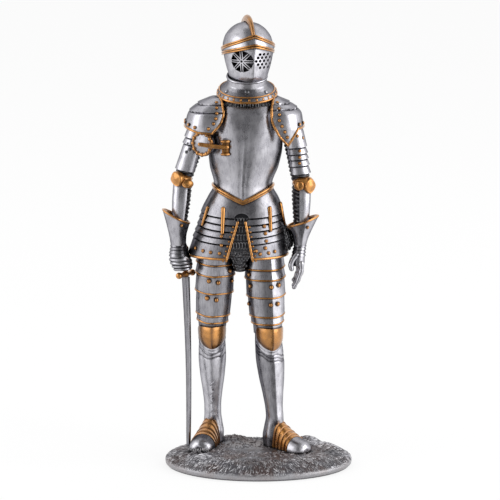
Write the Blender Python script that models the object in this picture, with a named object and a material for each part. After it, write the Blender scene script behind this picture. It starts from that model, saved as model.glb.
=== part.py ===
"""A cast pewter knight in full plate armour, standing on an oval base with a drawn sword.

Every armour plate is a separate solid. The limbs, waist, neck and feet join with pegs in sockets,
and the other plates seat on the solids that carry them, with a small gap for glue.
The frame has +X to the figure's left, +Y to its back and +Z up. The origin is under the middle
of the base. Sizes are in millimetres, and MM turns them into Blender's metres.
"""

import math
from collections import namedtuple

import bmesh
import bpy
from mathutils import Matrix, Vector

MM = 0.001
GAP = 0.25
PEG_CLEARANCE = 0.15
LIMB_SIDES = 16
BODY_SIDES = 24
SMALL_SIDES = 12
RIDGE_SHARPNESS = 5

# Base
GROUND = 3.4
BASE_HALF_W, BASE_HALF_D = 23.6, 19.2
BASE_PROFILE = (
    (0.0, 0.6), (0.5, 0.1), (1.4, 0), (1.9, 0.4), (2.35, 1.3), (2.6, 2.0), (2.85, 2.8), (3.05, 3.7), (3.2, 4.6),
    (3.3, 5.5), (GROUND, 6.4), (GROUND, 8.0), (GROUND, 9.6), (GROUND, 11.2), (GROUND, 13.2), (GROUND, 16.0),
)
BASE_SIDES = 72
# Low mounds of the ground: X, Y, reach and rise
MOUNDS = (
    (-7.0, 15.6, 4.6, 0.75), (-10.6, 12.6, 4.2, 0.3), (13.4, 13.0, 4.4, 1.15), (-0.8, 17.5, 4.5, -0.5),
    (5.5, 14.8, 3.2, 0.35), (18.0, 8.6, 3.0, 0.3), (18.8, 4.0, 3.0, 0.3), (19.6, -1.5, 2.8, 0.25),
    (17.0, -6.5, 3.0, 0.3), (13.0, -10.0, 3.2, 0.35), (8.5, -12.8, 3.0, 0.3), (3.5, -14.2, 3.0, 0.3),
    (-1.5, -14.8, 2.8, 0.3), (-6.5, -13.6, 3.0, 0.35), (-11.0, -11.2, 3.0, 0.35), (-15.0, -8.0, 3.0, 0.4),
    (-18.2, -3.6, 2.4, 0.5), (-15.6, -4.2, 2.2, 0.55), (-12.8, -4.8, 2.2, 0.45), (-20.0, 0.8, 2.4, 0.3),
    (8.0, -7.8, 3.0, 0.3), (3.0, -9.2, 3.0, 0.3), (-2.5, -9.8, 3.0, 0.3), (-8.0, -8.2, 3.0, 0.35),
)
MOUND_FLOOR = 1.9

# Legs: joint centres, and how far each part turns outwards, in degrees towards +X
Leg = namedtuple("Leg", "hip knee ankle thigh_turn knee_turn shin_turn foot_turn")
LEGS = {
    "right": Leg((-10.5, 6.9, 56.5), (-11.8, 7.9, 32.6), (-11.7, 10.0, 11.0), 0, 0, -2, -18),
    "left": Leg((1.1, 6.3, 56.5), (2.35, 5.6, 32.6), (4.1, 5.2, 11.0), 19, 14, 14, 44),
}
HEEL_BACK = 3.2
FOOT_LENGTH = 14.8
BALL_OF_FOOT = 10.9
THIGH_RIDGE, SHIN_RIDGE = 0.35, 0.8
THIGH_KEEL, KNEE_KEEL, SHIN_KEEL = 0.3, 0.3, 0.5
HIP_PEG, KNEE_PEG, HEEL_PEG = (1.8, 2.6), (1.5, 2.4), (1.3, 2.2)

# Waist: the belt runs in a shallow V, with its point at the front and at the back
BODY_Y = 6.5
WAIST_X, WAIST_HALF_W = -3.9, 7.5
WAIST_SIDE, WAIST_TIP = 70.3, 67.0
BELT_HEIGHT = 1.2
WAIST_PEG = (2.4, 9.0)
SKIRT_LAMES = (63.0, 61.3, 59.7, 58.1, 56.5)
SKIRT_BOTTOM, SKIRT_WALL = 52.8, 1.1
LAME_STEP = 0.3
CORE_TOP, CORE_HEM = 65.6, 55.0
CROTCH = 48.8
KEYHOLE_X, KEYHOLE_Z, KEYHOLE_R = -4.3, 63.4, 1.7
KEYHOLE_NECK, KEYHOLE_FOOT = 1.0, 3.2

# Trunk, neck and head
NECK = (-2.9, 6.3, 95.0)
GORGET_TILT = 15
NECK_PEG = (2.3, 3.0)
HEAD_X, HEAD_Y, HEAD_TURN = -2.7, 6.0, 12
VISOR_THICKNESS, VISOR_KEEL = 1.0, 0.5
BROW_FRONT, BROW_SIDE = 105.3, 103.8
TEMPLE_Y = 4.6
COMB_HALF_THICKNESS, COMB_R, COMB_Z, COMB_LOW = 0.75, 8.25, 104.6, 106.1

# Arms: joint centres
Arm = namedtuple("Arm", "shoulder elbow wrist")
ARMS = {
    "right": Arm((-13.9, 6.6, 88.0), (-18.9, 6.0, 72.0), (-20.1, 3.9, 57.4)),
    "left": Arm((7.7, 6.6, 88.0), (10.7, 6.0, 71.2), (10.6, 4.2, 57.4)),
}
SHOULDER_PEG, SHOULDER_PEG_REACH = (1.4, 86.0), 0.55
ELBOW_PEG = (0.9, 2.2)
CUFF_FLOOR, CUFF_BOTTOM = 57.2, 55.7
HAND_PEG = (0.8, 1.0)
PAULDRON_MIRROR_X = -3.6
BESAGEW_CENTRE, BESAGEW_R, BESAGEW_TURN = (-13.6, 1.6, 81.4), 3.0, -35
BESAGEW_FRONT, BESAGEW_BACK = 0.9, 1.8
BOSS_R, BOSS_TOP_R, BOSS_HEIGHT = 2.4, 1.6, 0.5
COUTER_RADII, COUTER_OUT, COUTER_FORWARD = (2.9, 2.9, 2.2), 0.8, 1.1
THUMB_R, THUMB_TIP_R = 0.75, 0.6
LANCE_REST_X, LANCE_REST_Z = -7.7, 81.0
LANCE_REST_LENGTH, LANCE_REST_FRONT = 7.0, -2.6
LANCE_PLATE_HALF_W, LANCE_PLATE_HALF_H, LANCE_BAR_R, LANCE_BAR_RISE = 0.7, 2.1, 0.6, 0.8

# Sword: it leans back a little, so that the pommel is behind the wrist
SWORD_TIP, SWORD_TOP = (-17.75, 4.3, 2.4), (-18.5, 6.3, 55.0)
BLADE_HALF_W, BLADE_HALF_D, BLADE_TAPER, BLADE_EDGE = 1.0, 0.5, 0.6, 1.5
GUARD_Z, GUARD_LENGTH, GUARD_TURN = 48.0, 5.9, 57
GUARD_R, KNOB_R, GUARD_HALF_HEIGHT = 0.6, 0.85, 0.8
GRIP_R, POMMEL_R, TANG_R, TANG_LENGTH = 0.75, 0.85, 0.4, 3.0

PEWTER = ("pewter", (0.46, 0.46, 0.48), 0.38, 1.0)
DARK_PEWTER = ("mail", (0.08, 0.08, 0.09), 0.5, 1.0)
GROUND_PEWTER = ("ground", (0.20, 0.19, 0.20), 0.55, 1.0)
BRIGHT_STEEL = ("blade", (0.40, 0.40, 0.42), 0.3, 1.0)
GOLD = ("gold_paint", (0.72, 0.38, 0.09), 0.4, 0.8)

S = namedtuple("S", "z x y half_w half_d power ridge slope keel", defaults=(2.2, 0.0, 0.0, 0.0))


# Scene helpers


def clear_scene():
    for obj in list(bpy.data.objects):
        bpy.data.objects.remove(obj, do_unlink=True)


def new_collection(name):
    collection = bpy.data.collections.new(name)
    bpy.context.scene.collection.children.link(collection)
    return collection


def material(finish):
    name, colour, roughness, metallic = finish
    found = bpy.data.materials.get(name)
    if found:
        return found
    made = bpy.data.materials.new(name)
    made.use_nodes = True
    shader = made.node_tree.nodes["Principled BSDF"]
    shader.inputs["Base Color"].default_value = (*colour, 1.0)
    shader.inputs["Roughness"].default_value = roughness
    shader.inputs["Metallic"].default_value = metallic
    made.diffuse_color = (*colour, 1.0)
    return made


def add_object(name, bm, collection, origin=(0, 0, 0)):
    """Makes an object from a bmesh in world metres, with its own origin at a point in millimetres."""
    bmesh.ops.recalc_face_normals(bm, faces=bm.faces)
    mesh = bpy.data.meshes.new(name)
    bm.to_mesh(mesh)
    bm.free()
    place = Vector(origin) * MM
    mesh.transform(Matrix.Translation(-place))
    obj = bpy.data.objects.new(name, mesh)
    obj.location = place
    collection.objects.link(obj)
    return obj


def add_part(name, bm, finish, origin):
    obj = add_object(name, bm, KNIGHT, origin)
    obj.parent = KNIGHT_ROOT
    obj.data.materials.append(material(finish))
    obj.data.shade_smooth()
    obj.data.set_sharp_from_angle(angle=math.radians(35))
    return obj


def add_cutter(name, bm):
    obj = add_object(name, bm, CUTTERS)
    obj.hide_render = True
    obj.display_type = "WIRE"
    return obj


def combine(obj, operation, *others):
    for other in others:
        modifier = obj.modifiers.new(f"{operation.lower()} {other.name}", "BOOLEAN")
        modifier.operation = operation
        modifier.object = other


def cut(obj, *cutters):
    combine(obj, "DIFFERENCE", *cutters)


# Shape helpers


def ring(section, sides, facing, grow, floor):
    """The points of one super-ellipse section. A ridge stands in front, and a keel flattens the sides to it."""
    turn = math.radians(facing)
    points = []
    for i in range(sides):
        angle = math.tau * i / sides
        across, back = math.cos(angle), math.sin(angle)
        bend = 2 / (section.power - section.keel if back < 0 else section.power)
        x = (section.half_w + grow) * math.copysign(abs(across) ** bend, across)
        y = (section.half_d + grow) * math.copysign(abs(back) ** bend, back)
        y -= section.ridge * max(0.0, -back) ** RIDGE_SHARPNESS
        if floor is not None:
            y = max(y, floor)
        dx = x * math.cos(turn) - y * math.sin(turn)
        dy = x * math.sin(turn) + y * math.cos(turn)
        points.append(Vector((section.x + dx, section.y + dy, section.z + section.slope * dx)) * MM)
    return points


def loft(sections, sides=LIMB_SIDES, facing=0, grow=0.0, floor=None):
    """A closed solid through unlike sections. Two sections at one height make a flat shoulder."""
    bm = bmesh.new()
    rings = [[bm.verts.new(p) for p in ring(s, sides, facing, grow, floor)] for s in sections]
    for low, high in zip(rings, rings[1:]):
        for i in range(sides):
            j = (i + 1) % sides
            bm.faces.new((low[i], low[j], high[j], high[i]))
    bm.faces.new(rings[0])
    bm.faces.new(rings[-1])
    return bm


def between(a, b, share):
    return tuple(p + (q - p) * share for p, q in zip(a, b))


def section_at(sections, z):
    """The section at a height, read between its neighbours in a list."""
    for a, b in zip(sections, sections[1:]):
        if min(a.z, b.z) <= z <= max(a.z, b.z) and a.z != b.z:
            return S(*between(a, b, (z - a.z) / (b.z - a.z)))
    return sections[0] if abs(sections[0].z - z) < abs(sections[-1].z - z) else sections[-1]


def with_lames(sections, edges, step):
    """Gives a tapering shell its overlapping plates: each one flares by a step down to its lower edge."""
    heights = [s.z for s in sections] + list(edges)
    made = []
    for z in sorted(set(heights), reverse=True):
        base = section_at(sections, z)
        upper = [e for e in edges if e > z]
        above = min(upper) if upper else sections[0].z
        below = max([e for e in edges if e <= z], default=sections[-1].z)
        share = (above - z) / (above - below) if upper or z in edges else 0.0
        made.append(base._replace(half_w=base.half_w + step * share, half_d=base.half_d + step * share))
        if z in edges:
            made.append(base)
    return made


def limb(profile, top, bottom, power=2.2):
    """Sections down the line between two joints. Rows give a share, half width, half depth and shift back."""
    sections = []
    for share, half_w, half_d, back in profile:
        x, y, z = between(top, bottom, share)
        sections.append(S(z, x, y + back, half_w, half_d, power))
    return sections


def peg(section, size, way):
    """Two sections that carry on from an end as a round peg. A socket is a peg that runs inwards."""
    radius, length = size
    end = section._replace(half_w=radius, half_d=radius, power=2.0, ridge=0.0, slope=0.0, keel=0.0)
    return [end, end._replace(z=end.z + way * length)]


def socket(section, size, way):
    radius, length = size
    return peg(section, (radius + PEG_CLEARANCE, length + GAP), way)


def room(sections, sides=LIMB_SIDES, facing=0):
    """The loft with a gap all round it, also past its ends. It cuts the neighbours of a part."""
    way = math.copysign(GAP, sections[0].z - sections[-1].z)
    first = sections[0]._replace(z=sections[0].z + way)
    last = sections[-1]._replace(z=sections[-1].z - way)
    return loft([first, *sections[1:-1], last], sides, facing, grow=GAP)


def rod(start, end, radius, far_radius=None, sides=LIMB_SIDES):
    """A round bar or cone between two points."""
    a, b = Vector(start) * MM, Vector(end) * MM
    bm = bmesh.new()
    far = radius if far_radius is None else far_radius
    turn = (b - a).to_track_quat("Z", "Y").to_matrix().to_4x4()
    bmesh.ops.create_cone(
        bm, cap_ends=True, segments=sides, radius1=radius * MM, radius2=far * MM,
        depth=(b - a).length, matrix=Matrix.Translation((a + b) / 2) @ turn,
    )
    return bm


def ball(centre, radii, turn=0, segments=20, rings=12):
    """An ellipsoid, turned about Z."""
    bm = bmesh.new()
    shape = Matrix.Diagonal((*[r * MM for r in radii], 1.0))
    place = Matrix.Translation(Vector(centre) * MM) @ Matrix.Rotation(math.radians(turn), 4, "Z")
    bmesh.ops.create_uvsphere(bm, u_segments=segments, v_segments=rings, radius=1.0, matrix=place @ shape)
    return bm


def block(low, high):
    bm = bmesh.new()
    low, high = Vector(low) * MM, Vector(high) * MM
    size = Matrix.Diagonal((*(high - low), 1.0))
    bmesh.ops.create_cube(bm, size=1.0, matrix=Matrix.Translation((low + high) / 2) @ size)
    return bm


def prism(outline, front, back):
    """An outline of X and Z points, run from front to back along Y."""
    bm = bmesh.new()
    face = bm.faces.new([bm.verts.new(Vector((x, front, z)) * MM) for x, z in outline])
    swept = bmesh.ops.extrude_face_region(bm, geom=[face])["geom"]
    moved = [v for v in swept if isinstance(v, bmesh.types.BMVert)]
    bmesh.ops.translate(bm, verts=moved, vec=(0, (back - front) * MM, 0))
    return bm


def turned(outline_bm, matrix):
    bmesh.ops.transform(outline_bm, matrix=matrix, verts=outline_bm.verts)
    return outline_bm


def about(point, axis, degrees):
    """A turn about an axis through a point in millimetres."""
    place = Matrix.Translation(Vector(point) * MM)
    return place @ Matrix.Rotation(math.radians(degrees), 4, axis) @ place.inverted()


# Legs: cuisse, knee cap, greave with its heel, sabaton and toe cap

CUISSE = (
    (0.0, 4.4, 4.9, 0), (0.35, 4.75, 5.1, 0), (0.6, 4.5, 4.7, 0), (0.82, 3.95, 4.2, 0), (0.92, 3.45, 3.9, 0),
    (1.0, 3.15, 3.7, 0),
)
CUISSE_LAMES = (50.4, 48.0, 42.6, 37.4, 35.6)
GREAVE = (
    (0.0, 3.2, 3.4, 0), (0.14, 3.4, 3.8, 0.3), (0.3, 3.5, 4.0, 0.7), (0.52, 3.15, 3.6, 0.6),
    (0.74, 2.5, 2.9, 0.3), (0.92, 2.15, 2.45, 0.1), (1.0, 2.15, 2.5, 0.1),
)
HEEL = ((8.4, 2.4, 2.8, 0.2), (5.8, 2.75, 3.1, 0.3), (GROUND + GAP, 2.6, 2.9, 0.3))
INSTEP = ((2.9, 2.15, 6.7), (4.6, 2.35, 6.5), (6.4, 2.65, 5.6), (8.4, 2.95, 4.3), (BALL_OF_FOOT, 3.15, 2.95))
POLEYN = ((2.6, 3.45, 4.9), (1.0, 3.65, 5.25), (-0.8, 3.6, 5.3), (-2.4, 3.3, 5.0), (-4.0, 2.8, 4.4))
SHIELD = (
    (-4, 1.5), (-4, -1.2), (-2.9, -2.6), (-1.5, -3.4), (0, -3.75), (1.5, -3.4), (2.9, -2.6), (4, -1.2), (4, 1.5),
    (0, 1.9),
)
TOE = (
    (BALL_OF_FOOT + GAP, 3.15, 2.9), (12.4, 3.05, 2.5), (13.7, 2.6, 2.0), (14.5, 1.7, 1.4),
    (FOOT_LENGTH, 0.9, 0.9),
)


def cuisse_sections(leg):
    plain = [s._replace(ridge=THIGH_RIDGE, keel=THIGH_KEEL) for s in limb(CUISSE, leg.hip, leg.knee)]
    return with_lames(plain, CUISSE_LAMES, LAME_STEP)


def greave_sections(leg):
    top = (leg.knee[0], leg.knee[1], leg.knee[2] - GAP)
    shin = [s._replace(ridge=SHIN_RIDGE, keel=SHIN_KEEL) for s in limb(GREAVE, top, leg.ankle)]
    forward = (math.sin(math.radians(leg.foot_turn)), -math.cos(math.radians(leg.foot_turn)))
    heel = [
        S(z, leg.ankle[0] - back * forward[0], leg.ankle[1] - back * forward[1], half_w, half_d, 2.4)
        for z, half_w, half_d, back in HEEL
    ]
    return shin + heel


def foot_matrix(leg):
    """Takes foot coordinates, across, up and forwards from the back of the heel, to the world."""
    turn = math.radians(leg.foot_turn)
    across = Vector((math.cos(turn), math.sin(turn), 0))
    forward = Vector((math.sin(turn), -math.cos(turn), 0))
    heel = (Vector((leg.ankle[0], leg.ankle[1], 0)) - forward * HEEL_BACK) * MM
    heel.z = (GROUND + GAP) * MM
    turn_matrix = Matrix((across, Vector((0, 0, 1)), forward)).transposed().to_4x4()
    return Matrix.Translation(heel) @ turn_matrix


def foot_loft(rows, leg):
    sections = [S(forward, 0, 0, half_w, height, 2.3) for forward, half_w, height in rows]
    return turned(loft(sections, floor=0.0), foot_matrix(leg))


def make_leg(side, leg):
    thigh = cuisse_sections(leg)
    shin = greave_sections(leg)
    knee_socket = socket(thigh[-1], KNEE_PEG, 1)
    upper = peg(thigh[0], HIP_PEG, 1)[::-1] + thigh + knee_socket
    add_part(f"{side}_cuisse", loft(upper, facing=leg.thigh_turn), PEWTER, leg.hip)
    lower = peg(shin[0], KNEE_PEG, 1)[::-1] + shin + peg(shin[-1], HEEL_PEG, -1)
    add_part(f"{side}_greave", loft(lower, facing=leg.shin_turn), PEWTER, leg.knee)

    thigh_room = add_cutter(f"{side} thigh room", room(thigh, facing=leg.thigh_turn))
    shin_room = add_cutter(f"{side} shin room", room(shin, facing=leg.shin_turn))
    x, y, z = leg.knee
    cap = [S(z + up, x, y, half_w, half_d, 2.0, 0.7, 0, KNEE_KEEL) for up, half_w, half_d in POLEYN]
    poleyn = add_part(f"{side}_poleyn", loft(cap, facing=leg.knee_turn), GOLD, leg.knee)
    outline = prism([(x + across, z + up) for across, up in SHIELD], y - 10, y - 1)
    shield = add_cutter(f"{side} knee shield", turned(outline, about(leg.knee, "Z", leg.knee_turn)))
    combine(poleyn, "INTERSECT", shield)
    cut(poleyn, thigh_room, shin_room)

    sabaton = add_part(f"{side}_sabaton", foot_loft(INSTEP, leg), GOLD, leg.ankle)
    cut(sabaton, shin_room)
    add_part(f"{side}_toe_cap", foot_loft(TOE, leg), PEWTER, leg.ankle)
    return thigh_room


# Waist: mail skirt inside, plate skirt round it, and the belt


def waist_outline(lift, top):
    """The V of the waist, raised or lowered, closed along a far height."""
    reach = 2 * WAIST_HALF_W
    side = WAIST_TIP + (WAIST_SIDE - WAIST_TIP) * reach / WAIST_HALF_W
    edge = [(WAIST_X - reach, side + lift), (WAIST_X, WAIST_TIP + lift), (WAIST_X + reach, side + lift)]
    return edge + [(WAIST_X + reach, top), (WAIST_X - reach, top)]


SKIRT = (
    S(72.0, -3.9, BODY_Y, 7.0, 6.5), S(70.0, -3.9, BODY_Y, 7.4, 6.7), S(67.5, -3.9, BODY_Y, 8.7, 7.3),
    S(64.5, -4.1, BODY_Y, 9.9, 8.3), S(60.4, -4.5, BODY_Y, 10.8, 9.1), S(58.2, -4.8, BODY_Y, 11.3, 9.5),
    S(SKIRT_BOTTOM, -5.3, BODY_Y, 12.4, 10.2),
)


# Metal that fills the corner between the skirt and the left hand
HIP_WEB = (
    S(60.6, 5.6, 6.6, 1.2, 2.4), S(58.6, 6.4, 6.6, 1.9, 3.0), S(55.6, 6.9, 6.7, 2.0, 3.2),
    S(53.6, 6.4, 6.8, 1.2, 2.6),
)


def inside_skirt(z):
    outer = section_at(SKIRT, z)
    return outer._replace(half_w=outer.half_w - SKIRT_WALL, half_d=outer.half_d - SKIRT_WALL)


def core_sections():
    inner = [inside_skirt(z) for z in (CORE_TOP, 62.0, 58.0, CORE_HEM)]
    middle = S(52.0, -4.7, BODY_Y, 7.0, 6.6)
    return inner + [middle, S(CROTCH, -4.7, BODY_Y, 2.0, 4.4)]


def keyhole_outline():
    """The split in the front of the skirt: a slot that widens downwards, with a round head."""
    low = SKIRT_BOTTOM - 2
    neck_z = KEYHOLE_Z - math.sqrt(KEYHOLE_R**2 - KEYHOLE_NECK**2)
    start = math.asin((neck_z - KEYHOLE_Z) / KEYHOLE_R)
    head = []
    for i in range(13):
        angle = start + (math.pi - 2 * start) * i / 12
        head.append((KEYHOLE_X + KEYHOLE_R * math.cos(angle), KEYHOLE_Z + KEYHOLE_R * math.sin(angle)))
    return [(KEYHOLE_X - 0.5 - KEYHOLE_FOOT, low), (KEYHOLE_X - 0.5 + KEYHOLE_FOOT, low)] + head


def make_waist(thigh_rooms, grip_room):
    above = add_cutter("above waist", prism(waist_outline(-BELT_HEIGHT / 2 - GAP, 95), -15, 25))
    core = core_sections()
    spigot = peg(core[0], WAIST_PEG, 1)[::-1]
    mail = add_part("mail_skirt", loft(spigot + core, BODY_SIDES), DARK_PEWTER, (WAIST_X, BODY_Y, CORE_TOP))
    hip_sockets = []
    for side, leg in LEGS.items():
        x, y, z = leg.hip
        radius, length = HIP_PEG[0] + PEG_CLEARANCE, HIP_PEG[1] + GAP
        hip_sockets.append(add_cutter(f"{side} hip socket", rod((x, y, z - 1), (x, y, z + length), radius)))
    cut(mail, *thigh_rooms, *hip_sockets)

    plates = with_lames(list(SKIRT), SKIRT_LAMES, LAME_STEP)
    fauld = add_part("fauld", loft(plates, BODY_SIDES), PEWTER, (WAIST_X, BODY_Y, WAIST_TIP))
    mail_room = add_cutter("mail room", room(peg(core[0], WAIST_PEG, 1)[::-1] + core, BODY_SIDES))
    hollow = [inside_skirt(CORE_HEM), inside_skirt(SKIRT_BOTTOM)._replace(z=SKIRT_BOTTOM - 2)]
    skirt_hollow = add_cutter("skirt hollow", loft(hollow, BODY_SIDES, grow=GAP))
    keyhole = add_cutter("keyhole", prism(keyhole_outline(), -15, 4))
    combine(fauld, "UNION", add_cutter("hip web", loft(HIP_WEB)))
    left_rooms = [add_cutter("left cuff room", room(CUFFS["left"])), add_cutter("left hand room", room(OPEN_HAND))]
    cut(fauld, above, mail_room, skirt_hollow, keyhole, grip_room, *left_rooms, *thigh_rooms)

    slab_high = add_cutter("above belt", prism(waist_outline(BELT_HEIGHT / 2, 95), -15, 25))
    slab_low = add_cutter("below belt", prism(waist_outline(-BELT_HEIGHT / 2, 40), -15, 25))
    around = [S(74, WAIST_X, BODY_Y, 7.7, 7.7, 2.3), S(70, WAIST_X, BODY_Y, 7.8, 7.7, 2.3, 0.5)]
    around += [S(62, WAIST_X, BODY_Y, 8.2, 7.8, 2.3, 0.5)]
    belt = add_part("waist_belt", loft(around, BODY_SIDES), GOLD, (WAIST_X, BODY_Y, WAIST_TIP))
    cut(belt, slab_high, slab_low, mail_room)
    return mail_room, add_cutter("skirt room", room(plates, BODY_SIDES))


# Trunk: breastplate and backplate, cast as two halves

TRUNK = (
    S(65.0, -3.9, BODY_Y, 7.3, 7.2, 2.3, 0.5), S(70.5, -3.9, BODY_Y, 7.3, 7.0, 2.3, 0.7),
    S(75.5, -3.6, BODY_Y, 8.7, 7.4, 2.3, 0.8), S(80.0, -3.3, BODY_Y, 9.3, 7.7, 2.3, 0.8),
    S(84.5, -3.1, BODY_Y, 9.1, 7.2, 2.3, 0.6), S(88.5, -3.0, BODY_Y, 7.8, 6.0, 2.3, 0.3),
    S(92.0, -2.9, BODY_Y, 5.4, 4.6, 2.3), S(94.5, -2.9, BODY_Y, 4.0, 4.0, 2.2),
)


def make_trunk(rooms):
    low, high = (-30, -20, 50), (30, 40, 110)
    back_half = add_cutter("back half", block((low[0], BODY_Y - GAP / 2, low[2]), high))
    front_half = add_cutter("front half", block(low, (high[0], BODY_Y + GAP / 2, high[2])))
    below = add_cutter("below trunk", prism(waist_outline(BELT_HEIGHT / 2 + GAP, 40), -15, 25))
    x, y, z = NECK
    neck_socket = add_cutter("neck socket", rod((x, y, z + 1), (x, y, z - 5), NECK_PEG[0] + PEG_CLEARANCE))
    radius, height = SHOULDER_PEG
    ends = [(ARMS[side].shoulder[0], BODY_Y, height) for side in ("right", "left")]
    shoulder_socket = add_cutter("shoulder socket", rod(*ends, radius + PEG_CLEARANCE))
    for name, half in (("breastplate", back_half), ("backplate", front_half)):
        plate = add_part(name, loft(TRUNK, BODY_SIDES), PEWTER, (WAIST_X, BODY_Y, WAIST_TIP))
        cut(plate, half, below, neck_socket, shoulder_socket, *rooms)


# Neck and head: gorget, helmet bowl, visor and comb

GORGET = (
    S(-1.7, 0, 0, 7.0, 6.8), S(-1.3, 0, 0, 7.45, 7.2), S(-0.8, 0, 0, 7.3, 7.05), S(0.7, 0, 0, 5.6, 5.6),
    S(1.5, 0, 0, 4.95, 5.1), S(3.0, 0, 0, 5.0, 5.2),
)
HELMET = (
    S(96.6, HEAD_X, HEAD_Y - 0.1, 4.3, 4.6, 2.1, 0.5, 0, VISOR_KEEL),
    S(98.6, HEAD_X, HEAD_Y - 0.4, 4.8, 5.9, 2.1, 1.1, 0, VISOR_KEEL),
    S(101.0, HEAD_X, HEAD_Y - 0.2, 5.5, 6.6, 2.1, 1.1, 0, VISOR_KEEL),
    S(103.5, HEAD_X, HEAD_Y, 6.0, 7.0, 2.1, 0.9, 0, VISOR_KEEL),
    S(105.5, HEAD_X, HEAD_Y, 6.2, 7.3, 2.1, 0.5, 0, 0.2), S(107.5, HEAD_X, HEAD_Y, 5.8, 6.9, 2.1, 0.2),
    S(109.4, HEAD_X, HEAD_Y, 4.6, 5.6, 2.1), S(110.8, HEAD_X, HEAD_Y, 2.8, 3.6, 2.1),
    S(111.4, HEAD_X, HEAD_Y, 1.0, 1.5, 2.1),
)


def gorget_matrix():
    return Matrix.Translation(Vector(NECK) * MM) @ Matrix.Rotation(math.radians(GORGET_TILT), 4, "X")


def make_gorget():
    collar = peg(GORGET[0], NECK_PEG, -1)[::-1] + list(GORGET) + peg(GORGET[-1], NECK_PEG, 1)
    add_part("gorget", turned(loft(collar, BODY_SIDES), gorget_matrix()), PEWTER, NECK)
    return add_cutter("gorget room", turned(room(collar, BODY_SIDES), gorget_matrix()))


def visor_region(name, inset):
    """The space in front of the temples and below the brow, which the visor fills."""
    front, top = HEAD_Y - 14, 90
    outline = [
        (front, BROW_FRONT - inset + 2.0), (HEAD_Y - 7, BROW_FRONT - inset),
        (TEMPLE_Y - inset, BROW_SIDE - inset), (TEMPLE_Y - inset, top), (front, top),
    ]
    bm = prism(outline, -12, 12)
    quarter = Matrix.Translation((HEAD_X * MM, HEAD_Y * MM, 0)) @ Matrix.Rotation(math.radians(90), 4, "Z")
    back = Matrix.Translation((-HEAD_Y * MM, 0, 0))
    turned(bm, about((HEAD_X, HEAD_Y, 0), "Z", HEAD_TURN) @ quarter @ back)
    return add_cutter(name, bm)


def make_helmet(gorget_room):
    head = dict(sides=BODY_SIDES, facing=HEAD_TURN)
    below_crown = HELMET[:-1]
    inner = add_cutter("visor inside", loft(below_crown, grow=-VISOR_THICKNESS, **head))
    visor = add_part("visor", loft(HELMET, grow=GAP, **head), PEWTER, (HEAD_X, HEAD_Y, BROW_SIDE))
    combine(visor, "INTERSECT", visor_region("visor space", GAP))
    cut(visor, inner, gorget_room)

    bowl = add_part("helmet_bowl", loft(HELMET, **head), PEWTER, (HEAD_X, HEAD_Y, BROW_SIDE))
    face_recess = visor_region("visor recess", 0)
    cut(face_recess, add_cutter("face behind visor", loft(below_crown, grow=-VISOR_THICKNESS - GAP, **head)))
    cut(bowl, face_recess, gorget_room)

    bowl_room = add_cutter("bowl room", room(HELMET, **head))
    radii = (COMB_HALF_THICKNESS, COMB_R, COMB_R)
    comb = ball((HEAD_X, HEAD_Y, COMB_Z), radii, HEAD_TURN, BODY_SIDES, LIMB_SIDES)
    low = add_cutter("below comb", block((-20, -10, 80), (20, 30, COMB_LOW)))
    cut(add_part("helmet_comb", comb, GOLD, (HEAD_X, HEAD_Y, BROW_SIDE)), bowl_room, low)


# Arms: upper arm, elbow cap, forearm, gauntlet cuff and hand, under a shoulder plate

UPPER_ARM = (
    (0.0, 2.2, 2.3, 0), (0.1, 2.75, 3.0, 0), (0.35, 2.85, 3.1, 0), (0.7, 2.75, 2.9, 0), (1.0, 2.5, 2.6, 0),
)
FOREARM = ((0.0, 2.4, 2.5, 0), (0.3, 2.4, 2.5, 0), (0.7, 1.95, 2.1, 0), (1.0, 1.4, 1.6, 0))
CUFFS = {
    "right": (S(62.7, -20.7, 3.9, 3.4, 3.1, 2.2, 0, -0.5), S(60.4, -20.5, 3.9, 2.75, 2.7, 2.2, 0, -0.3),
              S(57.6, -20.3, 3.8, 2.1, 2.2), S(CUFF_BOTTOM, -20.2, 3.7, 1.9, 2.1)),
    "left": (S(61.4, 11.1, 4.1, 4.0, 3.2, 2.2, 0, 0.34), S(59.4, 10.8, 4.1, 2.85, 2.8, 2.2, 0, 0.2),
             S(57.4, 10.5, 4.0, 1.95, 2.2), S(CUFF_BOTTOM, 10.4, 3.9, 1.5, 1.95)),
}
PAULDRON = (
    S(92.6, -10.8, BODY_Y, 1.8, 3.6, 2.4), S(90.8, -12.2, BODY_Y, 3.7, 5.9, 2.4),
    S(88.4, -13.4, BODY_Y, 4.7, 7.6, 2.4), S(85.3, -13.9, BODY_Y, 4.75, 8.0, 2.4),
    S(83.9, -14.4, BODY_Y, 4.3, 7.4, 2.4),
)
LEFT_PAULDRON_TIP = S(81.3, 7.3, 2.6, 1.4, 3.2)
FIST = (
    S(55.5, -20.1, 3.7, 1.8, 1.9), S(53.6, -20.1, 3.5, 2.2, 2.4), S(51.0, -19.5, 4.2, 2.6, 2.9),
    S(49.1, -19.1, 4.4, 2.2, 2.5),
)
OPEN_HAND = (
    S(55.5, 10.4, 3.9, 1.4, 1.8), S(53.4, 10.1, 3.7, 1.6, 2.1), S(51.2, 9.95, 3.6, 1.7, 2.2),
    S(49.8, 9.9, 3.5, 1.5, 2.0), S(47.0, 9.3, 3.3, 0.95, 1.6), S(45.3, 8.9, 3.2, 0.5, 0.9),
)
THUMB = ((9.1, 2.5, 53.4), (8.3, 1.7, 50.0))


def mirrored(sections):
    return [s._replace(x=2 * PAULDRON_MIRROR_X - s.x, slope=-s.slope) for s in sections]


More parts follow.
